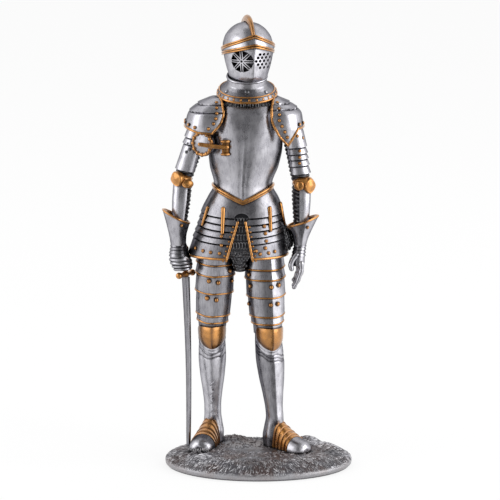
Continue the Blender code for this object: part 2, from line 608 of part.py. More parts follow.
def make_arm(side, arm, trunk_room, gorget_room):
    upper = limb(UPPER_ARM, arm.shoulder, arm.elbow)
    fore_top = (arm.elbow[0], arm.elbow[1], arm.elbow[2] - GAP)
    fore = limb(FOREARM, fore_top, (*arm.wrist[:2], CUFF_FLOOR + GAP))
    elbow_socket = socket(upper[-1], ELBOW_PEG, 1)
    rerebrace = add_part(f"{side}_rerebrace", loft(upper + elbow_socket), PEWTER, arm.shoulder)
    radius, height = SHOULDER_PEG
    outer = (arm.shoulder[0], BODY_Y, height)
    inner = between(outer, (WAIST_X, BODY_Y, height), SHOULDER_PEG_REACH)
    combine(rerebrace, "UNION", add_cutter(f"{side} shoulder stub", rod(outer, inner, radius)))
    stub_room = add_cutter(f"{side} shoulder stub room", rod(outer, inner, radius + PEG_CLEARANCE))
    vambrace = peg(fore[0], ELBOW_PEG, 1)[::-1] + fore
    add_part(f"{side}_vambrace", loft(vambrace), PEWTER, arm.elbow)

    upper_room = add_cutter(f"{side} upper arm room", room(upper))
    fore_room = add_cutter(f"{side} forearm room", room(fore))
    outward = math.copysign(COUTER_OUT, arm.shoulder[0] - WAIST_X)
    cap = ball((arm.elbow[0] + outward, arm.elbow[1] - COUTER_FORWARD, arm.elbow[2]), COUTER_RADII)
    cut(add_part(f"{side}_couter", cap, GOLD, arm.elbow), upper_room, fore_room)

    cuff = list(CUFFS[side]) + socket(CUFFS[side][-1], HAND_PEG, 1)
    cut(add_part(f"{side}_gauntlet_cuff", loft(cuff), PEWTER, arm.wrist), fore_room)

    plate = list(PAULDRON) if side == "right" else mirrored(PAULDRON) + [LEFT_PAULDRON_TIP]
    shoulder = add_part(f"{side}_pauldron", loft(plate, BODY_SIDES), PEWTER, arm.shoulder)
    cut(shoulder, trunk_room, upper_room, stub_room, gorget_room)
    plate_room = add_cutter(f"{side} pauldron room", room(plate, BODY_SIDES))
    return upper_room, plate_room


def make_hands(grip_room, skirt_room):
    fist = peg(FIST[0], HAND_PEG, 1)[::-1] + list(FIST)
    cut(add_part("right_gauntlet_hand", loft(fist), PEWTER, ARMS["right"].wrist), grip_room, skirt_room)
    palm = peg(OPEN_HAND[0], HAND_PEG, 1)[::-1] + list(OPEN_HAND)
    hand = add_part("left_gauntlet_hand", loft(palm), PEWTER, ARMS["left"].wrist)
    combine(hand, "UNION", add_cutter("left thumb", rod(*THUMB, THUMB_R, THUMB_TIP_R, SMALL_SIDES)))


# Plates on the chest: the disc in front of the right armpit, and the bracket for a lance


def make_besagew(*rooms):
    turn = math.radians(BESAGEW_TURN)
    forward = Vector((math.sin(turn), -math.cos(turn), 0))
    centre = Vector(BESAGEW_CENTRE)
    front = centre + forward * BESAGEW_FRONT
    disc = rod(centre - forward * BESAGEW_BACK, front, BESAGEW_R, sides=BODY_SIDES)
    besagew = add_part("right_besagew", disc, PEWTER, BESAGEW_CENTRE)
    low, high = front - forward * BOSS_HEIGHT, front + forward * BOSS_HEIGHT
    boss = add_cutter("besagew boss", rod(low, high, BOSS_R, BOSS_TOP_R, BODY_SIDES))
    combine(besagew, "UNION", boss)
    cut(besagew, *rooms)


def make_lance_rest(trunk_room):
    x, z = LANCE_REST_X, LANCE_REST_Z
    half_w, half_h = LANCE_PLATE_HALF_W, LANCE_PLATE_HALF_H
    front = LANCE_REST_FRONT + LANCE_BAR_R / 2
    plate = block((x - half_w, front, z - half_h), (x + half_w, BODY_Y, z + half_h))
    rest = add_part("lance_rest", plate, GOLD, (x, LANCE_REST_FRONT, z))
    start = (x, LANCE_REST_FRONT + LANCE_BAR_R, z)
    end = (x - LANCE_REST_LENGTH, LANCE_REST_FRONT, z + LANCE_BAR_RISE)
    bar = rod(start, end, LANCE_BAR_R, sides=SMALL_SIDES)
    combine(rest, "UNION", add_cutter("lance rest bar", bar))
    cut(rest, trunk_room)


# Sword: blade with its tang, cross guard, and grip with its pommel


def sword_point(z):
    share = (z - SWORD_TIP[2]) / (SWORD_TOP[2] - SWORD_TIP[2])
    return between(SWORD_TIP, SWORD_TOP, share)


def sword_section(z, half_w, half_d, power=2.0):
    x, y, _ = sword_point(z)
    return S(z, x, y, half_w, half_d, power)


def make_sword():
    shoulder = GUARD_Z - GUARD_HALF_HEIGHT - GAP
    blade = [
        sword_section(SWORD_TIP[2], 0.35, 0.3, BLADE_EDGE),
        sword_section(GROUND + 4, BLADE_HALF_W * BLADE_TAPER, BLADE_HALF_D, BLADE_EDGE),
        sword_section(shoulder, BLADE_HALF_W, BLADE_HALF_D, BLADE_EDGE),
        sword_section(shoulder, TANG_R, TANG_R),
        sword_section(GUARD_Z + TANG_LENGTH, TANG_R, TANG_R),
    ]
    add_part("sword_blade", loft(blade, SMALL_SIDES), BRIGHT_STEEL, sword_point(shoulder))

    low, high = sword_point(GUARD_Z - TANG_LENGTH), sword_point(GUARD_Z + TANG_LENGTH + GAP)
    hole = add_cutter("tang hole", rod(low, high, TANG_R + PEG_CLEARANCE, sides=SMALL_SIDES))
    turn = math.radians(GUARD_TURN)
    arm = Vector((math.cos(turn), math.sin(turn), 0)) * GUARD_LENGTH / 2
    middle = Vector(sword_point(GUARD_Z))
    guard = add_part("sword_guard", rod(middle - arm, middle + arm, GUARD_R, sides=SMALL_SIDES), GOLD, middle)
    for name, end in (("front", middle - arm), ("back", middle + arm)):
        knob = ball(end, (KNOB_R, KNOB_R, KNOB_R), 0, SMALL_SIDES, 8)
        combine(guard, "UNION", add_cutter(f"{name} quillon knob", knob))
    cut(guard, hole)

    low, neck = GUARD_Z + GUARD_HALF_HEIGHT + GAP, SWORD_TOP[2] - 2 * POMMEL_R
    profile = (
        (low, GRIP_R), (neck, GRIP_R), (neck + 0.4, POMMEL_R * 0.9), (SWORD_TOP[2] - 0.5, POMMEL_R),
        (SWORD_TOP[2], POMMEL_R * 0.6),
    )
    hilt = [sword_section(z, radius, radius) for z, radius in profile]
    cut(add_part("sword_hilt", loft(hilt, SMALL_SIDES), GOLD, sword_point(low)), hole)
    held = [sword_section(GUARD_Z - TANG_LENGTH, GRIP_R, GRIP_R), *hilt[1:]]
    return add_cutter("grip room", room(held, SMALL_SIDES))


# Base


def raise_mounds(bm):
    """Lifts the points of the ground onto its mounds, and leaves the wall below them as it is."""
    for point in bm.verts:
        x, y, z = point.co / MM
        lift = 0.0
        for mound_x, mound_y, reach, rise in MOUNDS:
            share = ((x - mound_x) ** 2 + (y - mound_y) ** 2) / reach**2
            lift += rise * max(0.0, 1 - share) ** 2
        point.co.z += lift * min(1.0, max(0.0, z - MOUND_FLOOR)) * MM


def make_base():
    rings = [S(z, 0, 0, BASE_HALF_W - inset, BASE_HALF_D - inset, 2.0) for z, inset in BASE_PROFILE]
    ground = loft(rings, BASE_SIDES)
    raise_mounds(ground)
    base = add_part("base", ground, GROUND_PEWTER, (0, 0, 0))
    radius, length = HEEL_PEG
    for side, leg in LEGS.items():
        heel = greave_sections(leg)[-1]
        top, low = (heel.x, heel.y, GROUND + 1), (heel.x, heel.y, GROUND - length)
        cut(base, add_cutter(f"{side} heel socket", rod(top, low, radius + PEG_CLEARANCE)))
    x, y, z = SWORD_TIP
    hole = rod((x, y, GROUND + 1), (x, y, z - GAP), BLADE_HALF_W, sides=SMALL_SIDES)
    cut(base, add_cutter("sword socket", hole))


def main():
    thigh_rooms = [make_leg(side, leg) for side, leg in LEGS.items()]
    grip_room = make_sword()
    mail_room, skirt_room = make_waist(thigh_rooms, grip_room)
    gorget_room = make_gorget()
    make_helmet(gorget_room)
    trunk_room = add_cutter("trunk room", room(TRUNK, BODY_SIDES))
    arm_rooms = {side: make_arm(side, arm, trunk_room, gorget_room) for side, arm in ARMS.items()}
    make_trunk([mail_room, gorget_room, *[rooms[0] for rooms in arm_rooms.values()]])
    make_besagew(trunk_room, *arm_rooms["right"])
    make_lance_rest(trunk_room)
    make_hands(grip_room, skirt_room)
    make_base()


clear_scene()
KNIGHT = new_collection("knight figure")
CUTTERS = new_collection("cutters")
KNIGHT_ROOT = bpy.data.objects.new("knight", None)
KNIGHT.objects.link(KNIGHT_ROOT)
main()
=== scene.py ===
"""The looks of a cast pewter knight: its plates, gold lines, rivets, mail and grass, on a plain white stage.

Sizes are in millimetres until a mesh is made. +X is the figure's left, +Y its back and +Z up, as in the
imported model. An angle of zero is the front of a piece, and angles grow towards the figure's left.
"""

import math
from collections import namedtuple

import bmesh
import bpy
import numpy as np
from mathutils import Matrix, Vector


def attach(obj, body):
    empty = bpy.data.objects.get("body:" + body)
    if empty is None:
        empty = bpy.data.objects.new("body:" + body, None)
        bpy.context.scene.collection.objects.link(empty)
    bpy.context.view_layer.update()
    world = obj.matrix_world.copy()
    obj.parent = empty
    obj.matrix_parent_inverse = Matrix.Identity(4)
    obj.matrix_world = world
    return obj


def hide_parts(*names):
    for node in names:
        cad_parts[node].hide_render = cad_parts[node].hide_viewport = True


bl_info = {
    "name": "Pewter knight",
    "version": (1, 0, 0),
    "blender": (4, 5, 0),
    "location": "3D View > Sidebar > Knight",
    "description": "Dresses the solids of a cast knight figure with plates, trim and finishes",
    "category": "Object",
}

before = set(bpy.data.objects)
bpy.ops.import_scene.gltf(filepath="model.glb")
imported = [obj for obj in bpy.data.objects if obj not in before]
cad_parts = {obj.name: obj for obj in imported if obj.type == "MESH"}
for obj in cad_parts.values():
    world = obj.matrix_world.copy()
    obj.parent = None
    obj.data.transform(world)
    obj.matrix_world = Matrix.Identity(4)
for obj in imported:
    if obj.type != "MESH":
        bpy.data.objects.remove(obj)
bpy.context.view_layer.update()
BODY = "root"
MM = 0.001
QUARTER = math.pi / 2
UP, FRONT = np.array((0, 0, 1.0)), np.array((0, -1.0, 0))
ANGLE_NUDGE, HEIGHT_NUDGE = 0.004, 0.02
RIDGE_SHARPNESS = 5
STEP_RUN = 0.04
# Painted shade on the underside of each moulding
UNDER_SHADE = 0.8
LINK_TILT = 0.12
PLATE = 0.8

Row = namedtuple("Row", "z x y half_w half_d power ridge slope", defaults=(2.2, 0.0, 0.0))
Leg = namedtuple("Leg", "hip knee ankle thigh_turn knee_turn shin_turn foot_turn")
Arm = namedtuple("Arm", "shoulder elbow wrist")

# Joints of the figure, where the solids have them
GROUND, SOLE = 3.4, 3.65
LEGS = {
    "right": Leg((-10.5, 6.9, 56.5), (-11.8, 7.9, 32.6), (-11.7, 10.0, 11.0), 0, 0, -2, -18),
    "left": Leg((1.1, 6.3, 56.5), (2.35, 5.6, 32.6), (4.1, 5.2, 11.0), 19, 14, 14, 44),
}
ARMS = {
    "right": Arm((-13.9, 6.6, 88.0), (-18.9, 6.0, 72.0), (-20.1, 3.9, 57.4)),
    "left": Arm((7.7, 6.6, 88.0), (10.7, 6.0, 71.2), (10.6, 4.2, 57.4)),
}
OUTER = {"right": -1, "left": 1}
BODY_Y = 6.5


# Sizes and colours that a user may change


def length(label, text, default):
    """A small length property, kept in metres."""
    return bpy.props.FloatProperty(
        name=label, description=text, default=default * MM, min=0.0, unit="LENGTH", precision=5,
    )


def swatch(label, text, default):
    return bpy.props.FloatVectorProperty(
        name=label, description=text, default=default, size=3, min=0.0, max=1.0, subtype="COLOR",
    )


class KnightSizes(bpy.types.PropertyGroup):
    """Sizes of the small work on the plates, and of the grass"""

    line: length("Gold line", "Radius of a raised gold line", 0.24)
    rim: length("Gold rim", "Radius of the gold moulding on a plate's edge", 0.32)
    rivet: length("Rivet", "Radius of a rivet head", 0.42)
    step: length("Plate step", "How far a plate stands out over the next one", 0.3)
    wire: length("Mail wire", "Radius of the wire of a mail link", 0.13)
    blade: length("Grass blade", "Half width of a blade of grass", 0.16)
    grass: bpy.props.IntProperty(name="Grass", description="Blades of grass on the base", default=3200, min=0)


class KnightColours(bpy.types.PropertyGroup):
    """Colours of the metals and paints"""

    pewter: swatch("Pewter", "Bare metal on the raised parts", (0.62, 0.612, 0.652))
    pewter_low: swatch("Dull pewter", "Bare metal where it is duller", (0.48, 0.472, 0.51))
    # The casting's dark wash, and also the colour of painted shade on the pewter
    wash_and_shade: swatch("Wash", "Dark wash in the recesses", (0.035, 0.033, 0.04))
    gold: swatch("Gold", "Gold paint on the raised parts", (0.66, 0.30, 0.075))
    # Brown gold is also the colour of painted shade on the gold
    gold_low: swatch("Brown gold", "Gold paint in the recesses", (0.085, 0.035, 0.014))
    mail: swatch("Mail", "Blackened mail", (0.05, 0.05, 0.056))
    mail_high: swatch("Worn mail", "Mail where it is rubbed bright", (0.46, 0.46, 0.48))
    ground: swatch("Ground", "Dark pewter of the grass", (0.13, 0.126, 0.14))
    earth: swatch("Earth", "Brown tint between the blades", (0.105, 0.078, 0.075))
    # Also the colour of the painted highlight on the tips of the grass
    rim: swatch("Base rim", "Bright edge of the base and tips of the grass", (0.74, 0.735, 0.76))
    blade: swatch("Blade", "Metal of the sword blade", (0.46, 0.455, 0.48))


def mm(name):
    """One of the sizes, in millimetres."""
    return getattr(bpy.context.scene.knight_sizes, name) / MM


def colour(name):
    return tuple(getattr(bpy.context.scene.knight_colours, name))


# Curves and skins


def unit(vectors):
    return vectors / np.maximum(np.linalg.norm(vectors, axis=-1, keepdims=True), 1e-12)


def through(knots, values, at, gentle=True):
    """A smooth curve through values at rising knots. A gentle one never swings past its values."""
    knots, at = np.asarray(knots, float), np.asarray(at, float)
    values = np.asarray(values, float)
    table = values.reshape(len(knots), -1)
    rise = np.diff(table, axis=0) / np.diff(knots)[:, None]
    slopes = np.concatenate([rise[:1], (rise[:-1] + rise[1:]) / 2, rise[-1:]])
    if gentle:
        same = rise[:-1] * rise[1:] > 0
        total = np.where(same, rise[:-1] + rise[1:], 1.0)
        slopes[1:-1] = np.where(same, 2 * rise[:-1] * rise[1:] / total, 0.0)
    i = np.clip(np.searchsorted(knots, at) - 1, 0, len(knots) - 2)
    run = (knots[i + 1] - knots[i])[..., None]
    t = np.clip((at[..., None] - knots[i][..., None]) / run, 0.0, 1.0)
    start = (1 + 2 * t) * (1 - t) ** 2 * table[i] + t * (1 - t) ** 2 * run * slopes[i]
    end = t * t * (3 - 2 * t) * table[i + 1] + t * t * (t - 1) * run * slopes[i + 1]
    return (start + end)[..., 0] if values.ndim == 1 else start + end


def curve(points, count):
    """Evenly spread points on a round curve through a few."""
    points = np.asarray(points, float)
    run = np.concatenate([[0], np.cumsum(np.linalg.norm(np.diff(points, axis=0), axis=1))])
    return through(run, points, np.linspace(0, run[-1], count), gentle=False)


def turned(degrees):
    """The ways ahead and across of a piece that is turned about the upright."""
    turn = math.radians(degrees)
    ahead = np.array((math.sin(turn), -math.cos(turn), 0))
    across = np.array((math.cos(turn), math.sin(turn), 0))
    return ahead, across


def around(count):
    """Angles all the way round, without the last one, which is the first again."""
    return np.linspace(-math.pi, math.pi, count, endpoint=False)


def circle(radius, count, stretch=1.0):
    """An outline of a hole, as pairs of a place across and a place up."""
    return [(radius * stretch * math.cos(a), radius * math.sin(a)) for a in around(count)]


def ease(share):
    """Zero up to a share of zero, one from a share of one, and a smooth run between."""
    share = np.clip(share, 0.0, 1.0)
    return share * share * (3 - 2 * share)


class Skin:
    """A smooth skin through sections at rising heights, turned about its own middle.

    With a keel the ridge becomes the edge between two flat sides, and the box value squares their corners.
    """

    def __init__(self, rows, turn=0.0, place=None, keel=0.0, box=3.0):
        rows = sorted(rows, key=lambda row: row.z)
        self.keel, self.box = keel, box
        self.knots = [row.z for row in rows]
        self.table = np.array([row[1:] for row in rows], float)
        self.turn = math.radians(turn)
        self.place = None if place is None else np.array(place)

    def at(self, angle, z):
        """Points on the skin."""
        angle, z = np.broadcast_arrays(np.asarray(angle, float), np.asarray(z, float))
        x, y, half_w, half_d, power, ridge, slope = np.moveaxis(through(self.knots, self.table, z), -1, 0)
        side, front = np.sin(angle), np.cos(angle)
        if self.keel:
            power = np.where(front > 0, self.box, power)
        across = half_w * np.sign(side) * np.abs(side) ** (2 / power)
        ahead = half_d * np.sign(front) * np.abs(front) ** (2 / power)
        if self.keel:
            fall = self.keel * ridge
            crest = half_d + ridge - fall * half_w
            sides = crest * np.abs(front) ** (2 / power) + fall * (half_w - np.abs(across))
            ahead = np.where(front > 0, sides, ahead)
        else:
            ahead = ahead + ridge * np.maximum(front, 0) ** RIDGE_SHARPNESS
        dx = across * math.cos(self.turn) + ahead * math.sin(self.turn)
        dy = across * math.sin(self.turn) - ahead * math.cos(self.turn)
        points = np.stack([x + dx, y + dy, z + slope * dx], -1)
        if self.place is not None:
            points = points @ self.place[:3, :3].T + self.place[:3, 3]
        return points

    def surface(self, angle, z, out=0.0):
        """Points that stand out from the skin, and the way the skin faces there."""
        angle, z = np.asarray(angle, float), np.asarray(z, float)
        across = self.at(angle + ANGLE_NUDGE, z) - self.at(angle - ANGLE_NUDGE, z)
        along = self.at(angle, z + HEIGHT_NUDGE) - self.at(angle, z - HEIGHT_NUDGE)
        facing = unit(np.cross(across, along))
        points = self.at(angle, z)
        return points + facing * np.broadcast_to(out, points.shape[:-1])[..., None], facing

    def angle_at(self, x, z):
        """The angle where the front of the skin passes a place seen from the front."""
        angles = np.linspace(-math.pi, math.pi, 241)
        seen = self.at(angles, z)[:, 0]
        front = slice(seen.argmin(), seen.argmax() + 1)
        return np.interp(x, seen[front], angles[front])

    def trace(self, places, count, out=0.0):
        """A run over the front through a few places, given as X and Z."""
        places = curve(places, count)
        angles = np.array([self.angle_at(x, z) for x, z in places])
        return self.surface(angles, places[:, 1], out)

    def spots(self, places, out=0.0):
        """Single places on the front, given as X and Z."""
        angles = np.array([self.angle_at(x, z) for x, z in places])
        return self.surface(angles, np.array([z for _, z in places]), out)


def limb(profile, top, bottom, power=2.2):
    """Sections between two joints. A row gives a share, a half width, a half depth and a shift back."""
    rows = []
    for share, half_w, half_d, back in profile:
        x, y, z = (p + (q - p) * share for p, q in zip(top, bottom))
        rows.append(Row(z, x, y + back, half_w, half_d, power))
    return rows


def heights(low, high, pitch, edges=()):
    """Rising heights, with close rows at each edge so that a step and the groove under it are sharp."""
    even = np.linspace(low, high, max(2, math.ceil((high - low) / pitch) + 1))
    kept = [z for z in even if all(not -0.5 < z - edge < 2 * STEP_RUN for edge in edges)]
    close = [edge + shift for edge in edges for shift in (-0.45, -0.28, -0.15, -STEP_RUN, STEP_RUN)]
    return np.sort(np.concatenate([kept, close]))


def lames(z, edges, step, low, high, groove=0.0):
    """How far overlapping plates stand out: each one flares down to its lower edge, over a groove."""
    ends = np.concatenate([[low], np.sort(edges), [high]])
    i = np.clip(np.searchsorted(ends, z, side="right") - 1, 0, len(ends) - 2)
    above = ends[i + 1] - z
    share = np.clip(above / (ends[i + 1] - ends[i]), 0, 1)
    sunk = np.where(i < len(ends) - 2, groove * np.exp(-((above / 0.24) ** 2)), 0.0)
    return step * share**1.3 - sunk


def crease(angle, centre, half_width, height):
    """A sharp fold with a flat side on each hand."""
    apart = np.abs((angle - centre + math.pi) % math.tau - math.pi)
    return height * np.maximum(0, 1 - apart / half_width)


# Meshes


def grid_faces(rows, columns, wrap, loop=False):
    """Faces between rows of points. A wrap closes each row, and a loop joins the last row to the first."""
    down = np.arange(rows if loop else rows - 1)
    across = np.arange(columns if wrap else columns - 1)
    i, j = np.meshgrid(down, across, indexing="ij")
    k, m = (j + 1) % columns, (i + 1) % rows
    return np.stack([i * columns + j, i * columns + k, m * columns + k, m * columns + j], -1).reshape(-1, 4)


# Rings of a rivet head: shares of its radius and of its height, and its wash and painted shade, darkest at
# the foot
DOME = (
    (1.3, -0.6, 1.0), (1.3, 0.08, 1.0), (1.0, 0.14, 0.8), (0.9, 0.5, 0.15), (0.62, 0.84, 0.0),
    (0.26, 0.98, 0.0),
)
NEARLY_UP = (0.05, 0.1, 1.0)
LEAF_SHARES = np.array((1.0, 0.97, 0.9, 0.82, 0.74, 0.6, 0.4, 0.2, 0.05))


class Clay:
    """The points and faces of one piece, in millimetres, with a painted share for each point: painted shade
    on metal and gold, and wear and painted highlights on the base.
    """

    def __init__(self):
        self.points, self.faces, self.paint = [], [], []
        self.total = 0

    def add(self, points, *faces, paint=0.0):
        points = np.asarray(points, float).reshape(-1, 3)
        self.points.append(points)
        self.paint.append(np.broadcast_to(np.asarray(paint, float).reshape(-1), (len(points),)))
        self.faces += [np.asarray(group) + self.total for group in faces]
        self.total += len(points)

    def body(self, rings, paint=0.0):
        """A closed solid from rings, with a middle point on each end."""
        rows, columns = rings.shape[:2]
        count = rows * columns
        ends = np.stack([rings[0].mean(0), rings[-1].mean(0)])
        j = np.arange(columns)
        k = (j + 1) % columns
        first = np.stack([k, j, np.full(columns, count)], -1)
        last = np.stack([count - columns + j, count - columns + k, np.full(columns, count + 1)], -1)
        values = np.broadcast_to(paint, (rows, columns)).reshape(-1)
        values = np.concatenate([values, [values[0], values[-1]]])
        points = np.concatenate([rings.reshape(-1, 3), ends])
        self.add(points, grid_faces(rows, columns, True), first, last, paint=values)

    def shell(self, outer, inner, wrap=False, paint=0.0):
        """A closed plate between an outer and an inner face."""
        rows, columns = outer.shape[:2]
        count = rows * columns
        face = grid_faces(rows, columns, wrap)
        top = (rows - 1) * columns + np.arange(columns)
        if wrap:
            rims = [np.arange(columns), top]
        else:
            right = columns - 1 + columns * np.arange(rows)
            left = columns * np.arange(rows)
            rims = [np.concatenate([np.arange(columns), right[1:], top[::-1][1:], left[::-1][1:-1]])]
        sides = []
        for rim in rims:
            ahead = np.roll(rim, -1)
            sides.append(np.stack([ahead, rim, rim + count, ahead + count], -1))
        points = np.concatenate([outer.reshape(-1, 3), inner.reshape(-1, 3)])
        values = np.tile(np.broadcast_to(paint, (rows, columns)).reshape(-1), 2)
        self.add(points, face, face[:, ::-1] + count, *sides, paint=values)

    def plate(self, skin, angles, z, out=0.0, thickness=PLATE, wrap=False, paint=0.0):
        """A plate of even thickness that lies on a skin."""
        outer, facing = skin.surface(angles, z, out)
        self.shell(outer, outer - facing * thickness, wrap, paint)

    def bead(self, points, facing, radius, closed=False, sides=8, flat=1.0, under=UNDER_SHADE, paint=0.0):
        """A round moulding along a run of points, with painted shade on its underside. A flat value below one
        lowers it.
        """
        points, facing = np.asarray(points, float), np.asarray(facing, float)
        facing = np.broadcast_to(facing, points.shape)
        radius = np.broadcast_to(np.asarray(radius, float), (len(points),))
        if closed:
            along = unit(np.roll(points, -1, 0) - np.roll(points, 1, 0))
        else:
            along = unit(np.gradient(points, axis=0))
            bends = np.radians((86, 58, 30))
            head = points[0] - along[0] * radius[0] * np.sin(bends)[:, None]
            tail = points[-1] + along[-1] * radius[-1] * np.sin(bends)[::-1, None]
            points = np.concatenate([head, points, tail])
            radius = np.concatenate([radius[0] * np.cos(bends), radius, radius[-1] * np.cos(bends)[::-1]])
            along = np.concatenate([along[:1].repeat(3, 0), along, along[-1:].repeat(3, 0)])
            facing = np.concatenate([facing[:1].repeat(3, 0), facing, facing[-1:].repeat(3, 0)])
        across = unit(np.cross(along, facing))
        up = np.cross(across, along) * flat
        turn = math.tau * np.arange(sides) / sides
        ring = across[:, None] * np.cos(turn)[:, None] + up[:, None] * np.sin(turn)[:, None]
        rings = points[:, None] + radius[:, None, None] * ring
        # Painted shade: the side of the moulding that faces down is darker
        shade = paint + under * ease(0.15 - 0.85 * ring[..., 2])
        if closed:
            self.add(rings, grid_faces(len(points), sides, True, loop=True), paint=shade)
        else:
            self.body(rings, shade)

    def dome(self, point, facing, radius, height=0.75, sides=10):
        """A rivet head, or with four sides a square stud."""
        facing = unit(np.asarray(facing, float))
        across = unit(np.cross(facing, NEARLY_UP))
        up = np.cross(across, facing)
        turn = math.tau * (np.arange(sides) + 0.5) / sides
        ring = across * np.cos(turn)[:, None] + up * np.sin(turn)[:, None]
        rings = [point + ring * radius * wide + facing * radius * height * high for wide, high, _ in DOME]
        # Wash and painted shade round the foot of the head
        self.body(np.array(rings), np.array([wash_and_shade for _, _, wash_and_shade in DOME])[:, None])

    def domes(self, points, facing, radius, **more):
        for point, way in zip(points, facing):
            self.dome(point, way, radius, **more)

    def ball(self, centre, radius):
        tilt = np.linspace(-QUARTER, QUARTER, 12)[1:-1]
        turn = around(16)
        way = [np.cos(tilt)[:, None] * np.cos(turn), np.cos(tilt)[:, None] * np.sin(turn)]
        way.append(np.broadcast_to(np.sin(tilt)[:, None], way[0].shape))
        self.body(np.asarray(centre) + radius * np.stack(way, -1))

    def leaf(self, centre, turn, half_w, half_h, bulge, power=2.0, lean=0.0, rim=0.0, depth=1.0, paint=0.0):
        """A domed lobe that faces a way round the figure, with a leaning outline and a raised rim."""
        lean = math.radians(lean)
        centre = np.asarray(centre)
        facing, level = turned(turn)
        across = level * math.cos(lean) + UP * math.sin(lean)
        up = UP * math.cos(lean) - level * math.sin(lean)
        bend = around(40)
        side = half_w * np.sign(np.cos(bend)) * np.abs(np.cos(bend)) ** (2 / power)
        rise = half_h * np.sign(np.sin(bend)) * np.abs(np.sin(bend)) ** (2 / power)
        outline = across * side[:, None] + up * rise[:, None]
        lift = bulge * (1 - LEAF_SHARES**2) + rim * np.exp(-(((LEAF_SHARES - 0.93) / 0.07) ** 2))
        rings = [centre + outline * share + facing * high for share, high in zip(LEAF_SHARES, lift)]
        self.body(np.array([centre + outline - facing * depth, *rings]), paint)

    def prism(self, outline, centre, across, up, facing, reach):
        """An outline in a plane, run a reach both ways."""
        flat = centre + np.array([across * u + up * v for u, v in outline])
        self.body(np.array([flat - facing * reach, flat + facing * reach]))

    def link(self, centre, facing, half_w, half_h, wire):
        """One oval mail link, upright on a surface."""
        turn = around(12)
        across = unit(np.cross(UP, -facing))
        points = centre + across * half_w * np.cos(turn)[:, None] + UP * half_h * np.sin(turn)[:, None]
        points = points + facing * LINK_TILT * np.sin(turn)[:, None]
        self.bead(points, facing, wire, closed=True, sides=5)

    def mesh(self, name):
        mesh = bpy.data.meshes.new(name)
        faces = [face for group in self.faces for face in group.tolist()]
        mesh.from_pydata((np.concatenate(self.points) * MM).tolist(), [], faces)
        bm = bmesh.new()
        bm.from_mesh(mesh)
        bmesh.ops.recalc_face_normals(bm, faces=bm.faces)
        bm.to_mesh(mesh)
        bm.free()
        shares = mesh.attributes.new("paint", "FLOAT", "POINT")
        shares.data.foreach_set("value", np.clip(np.concatenate(self.paint), 0, 1).astype(np.float32))
        return mesh


def add_piece(name, clay, slot, node=None, sharp=45):
    """Makes a piece of the figure from clay, in the finish of a material slot."""
    mesh = clay.mesh(name)
    mesh.shade_smooth()
    mesh.set_sharp_from_angle(angle=math.radians(sharp))
    mesh.materials.append(finish(slot))
    piece = bpy.data.objects.new(name, mesh)
    bpy.context.scene.collection.objects.link(piece)
    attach(piece, BODY)
    if node:
        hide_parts(node)
    return piece


def carve(piece, cutter_clay, sharp=45):
    """Cuts the clay's shapes out of a piece."""
    cutter = bpy.data.objects.new("cutter", cutter_clay.mesh("cutter"))
    bpy.context.scene.collection.objects.link(cutter)
    cut = piece.modifiers.new("holes", "BOOLEAN")
    cut.operation = "DIFFERENCE"
    cut.object = cutter
    cut.use_self = True
    graph = bpy.context.evaluated_depsgraph_get()
    carved = bpy.data.meshes.new_from_object(piece.evaluated_get(graph))
    piece.modifiers.clear()
    piece.data = carved
    carved.shade_smooth()
    carved.set_sharp_from_angle(angle=math.radians(sharp))
    bpy.data.objects.remove(cutter)


# Finishes

PEWTER_GLANCE = (0.25, 0.25, 0.26, 1.0)
GOLD_COAT, GOLD_COAT_ROUGHNESS = 0.6, 0.16


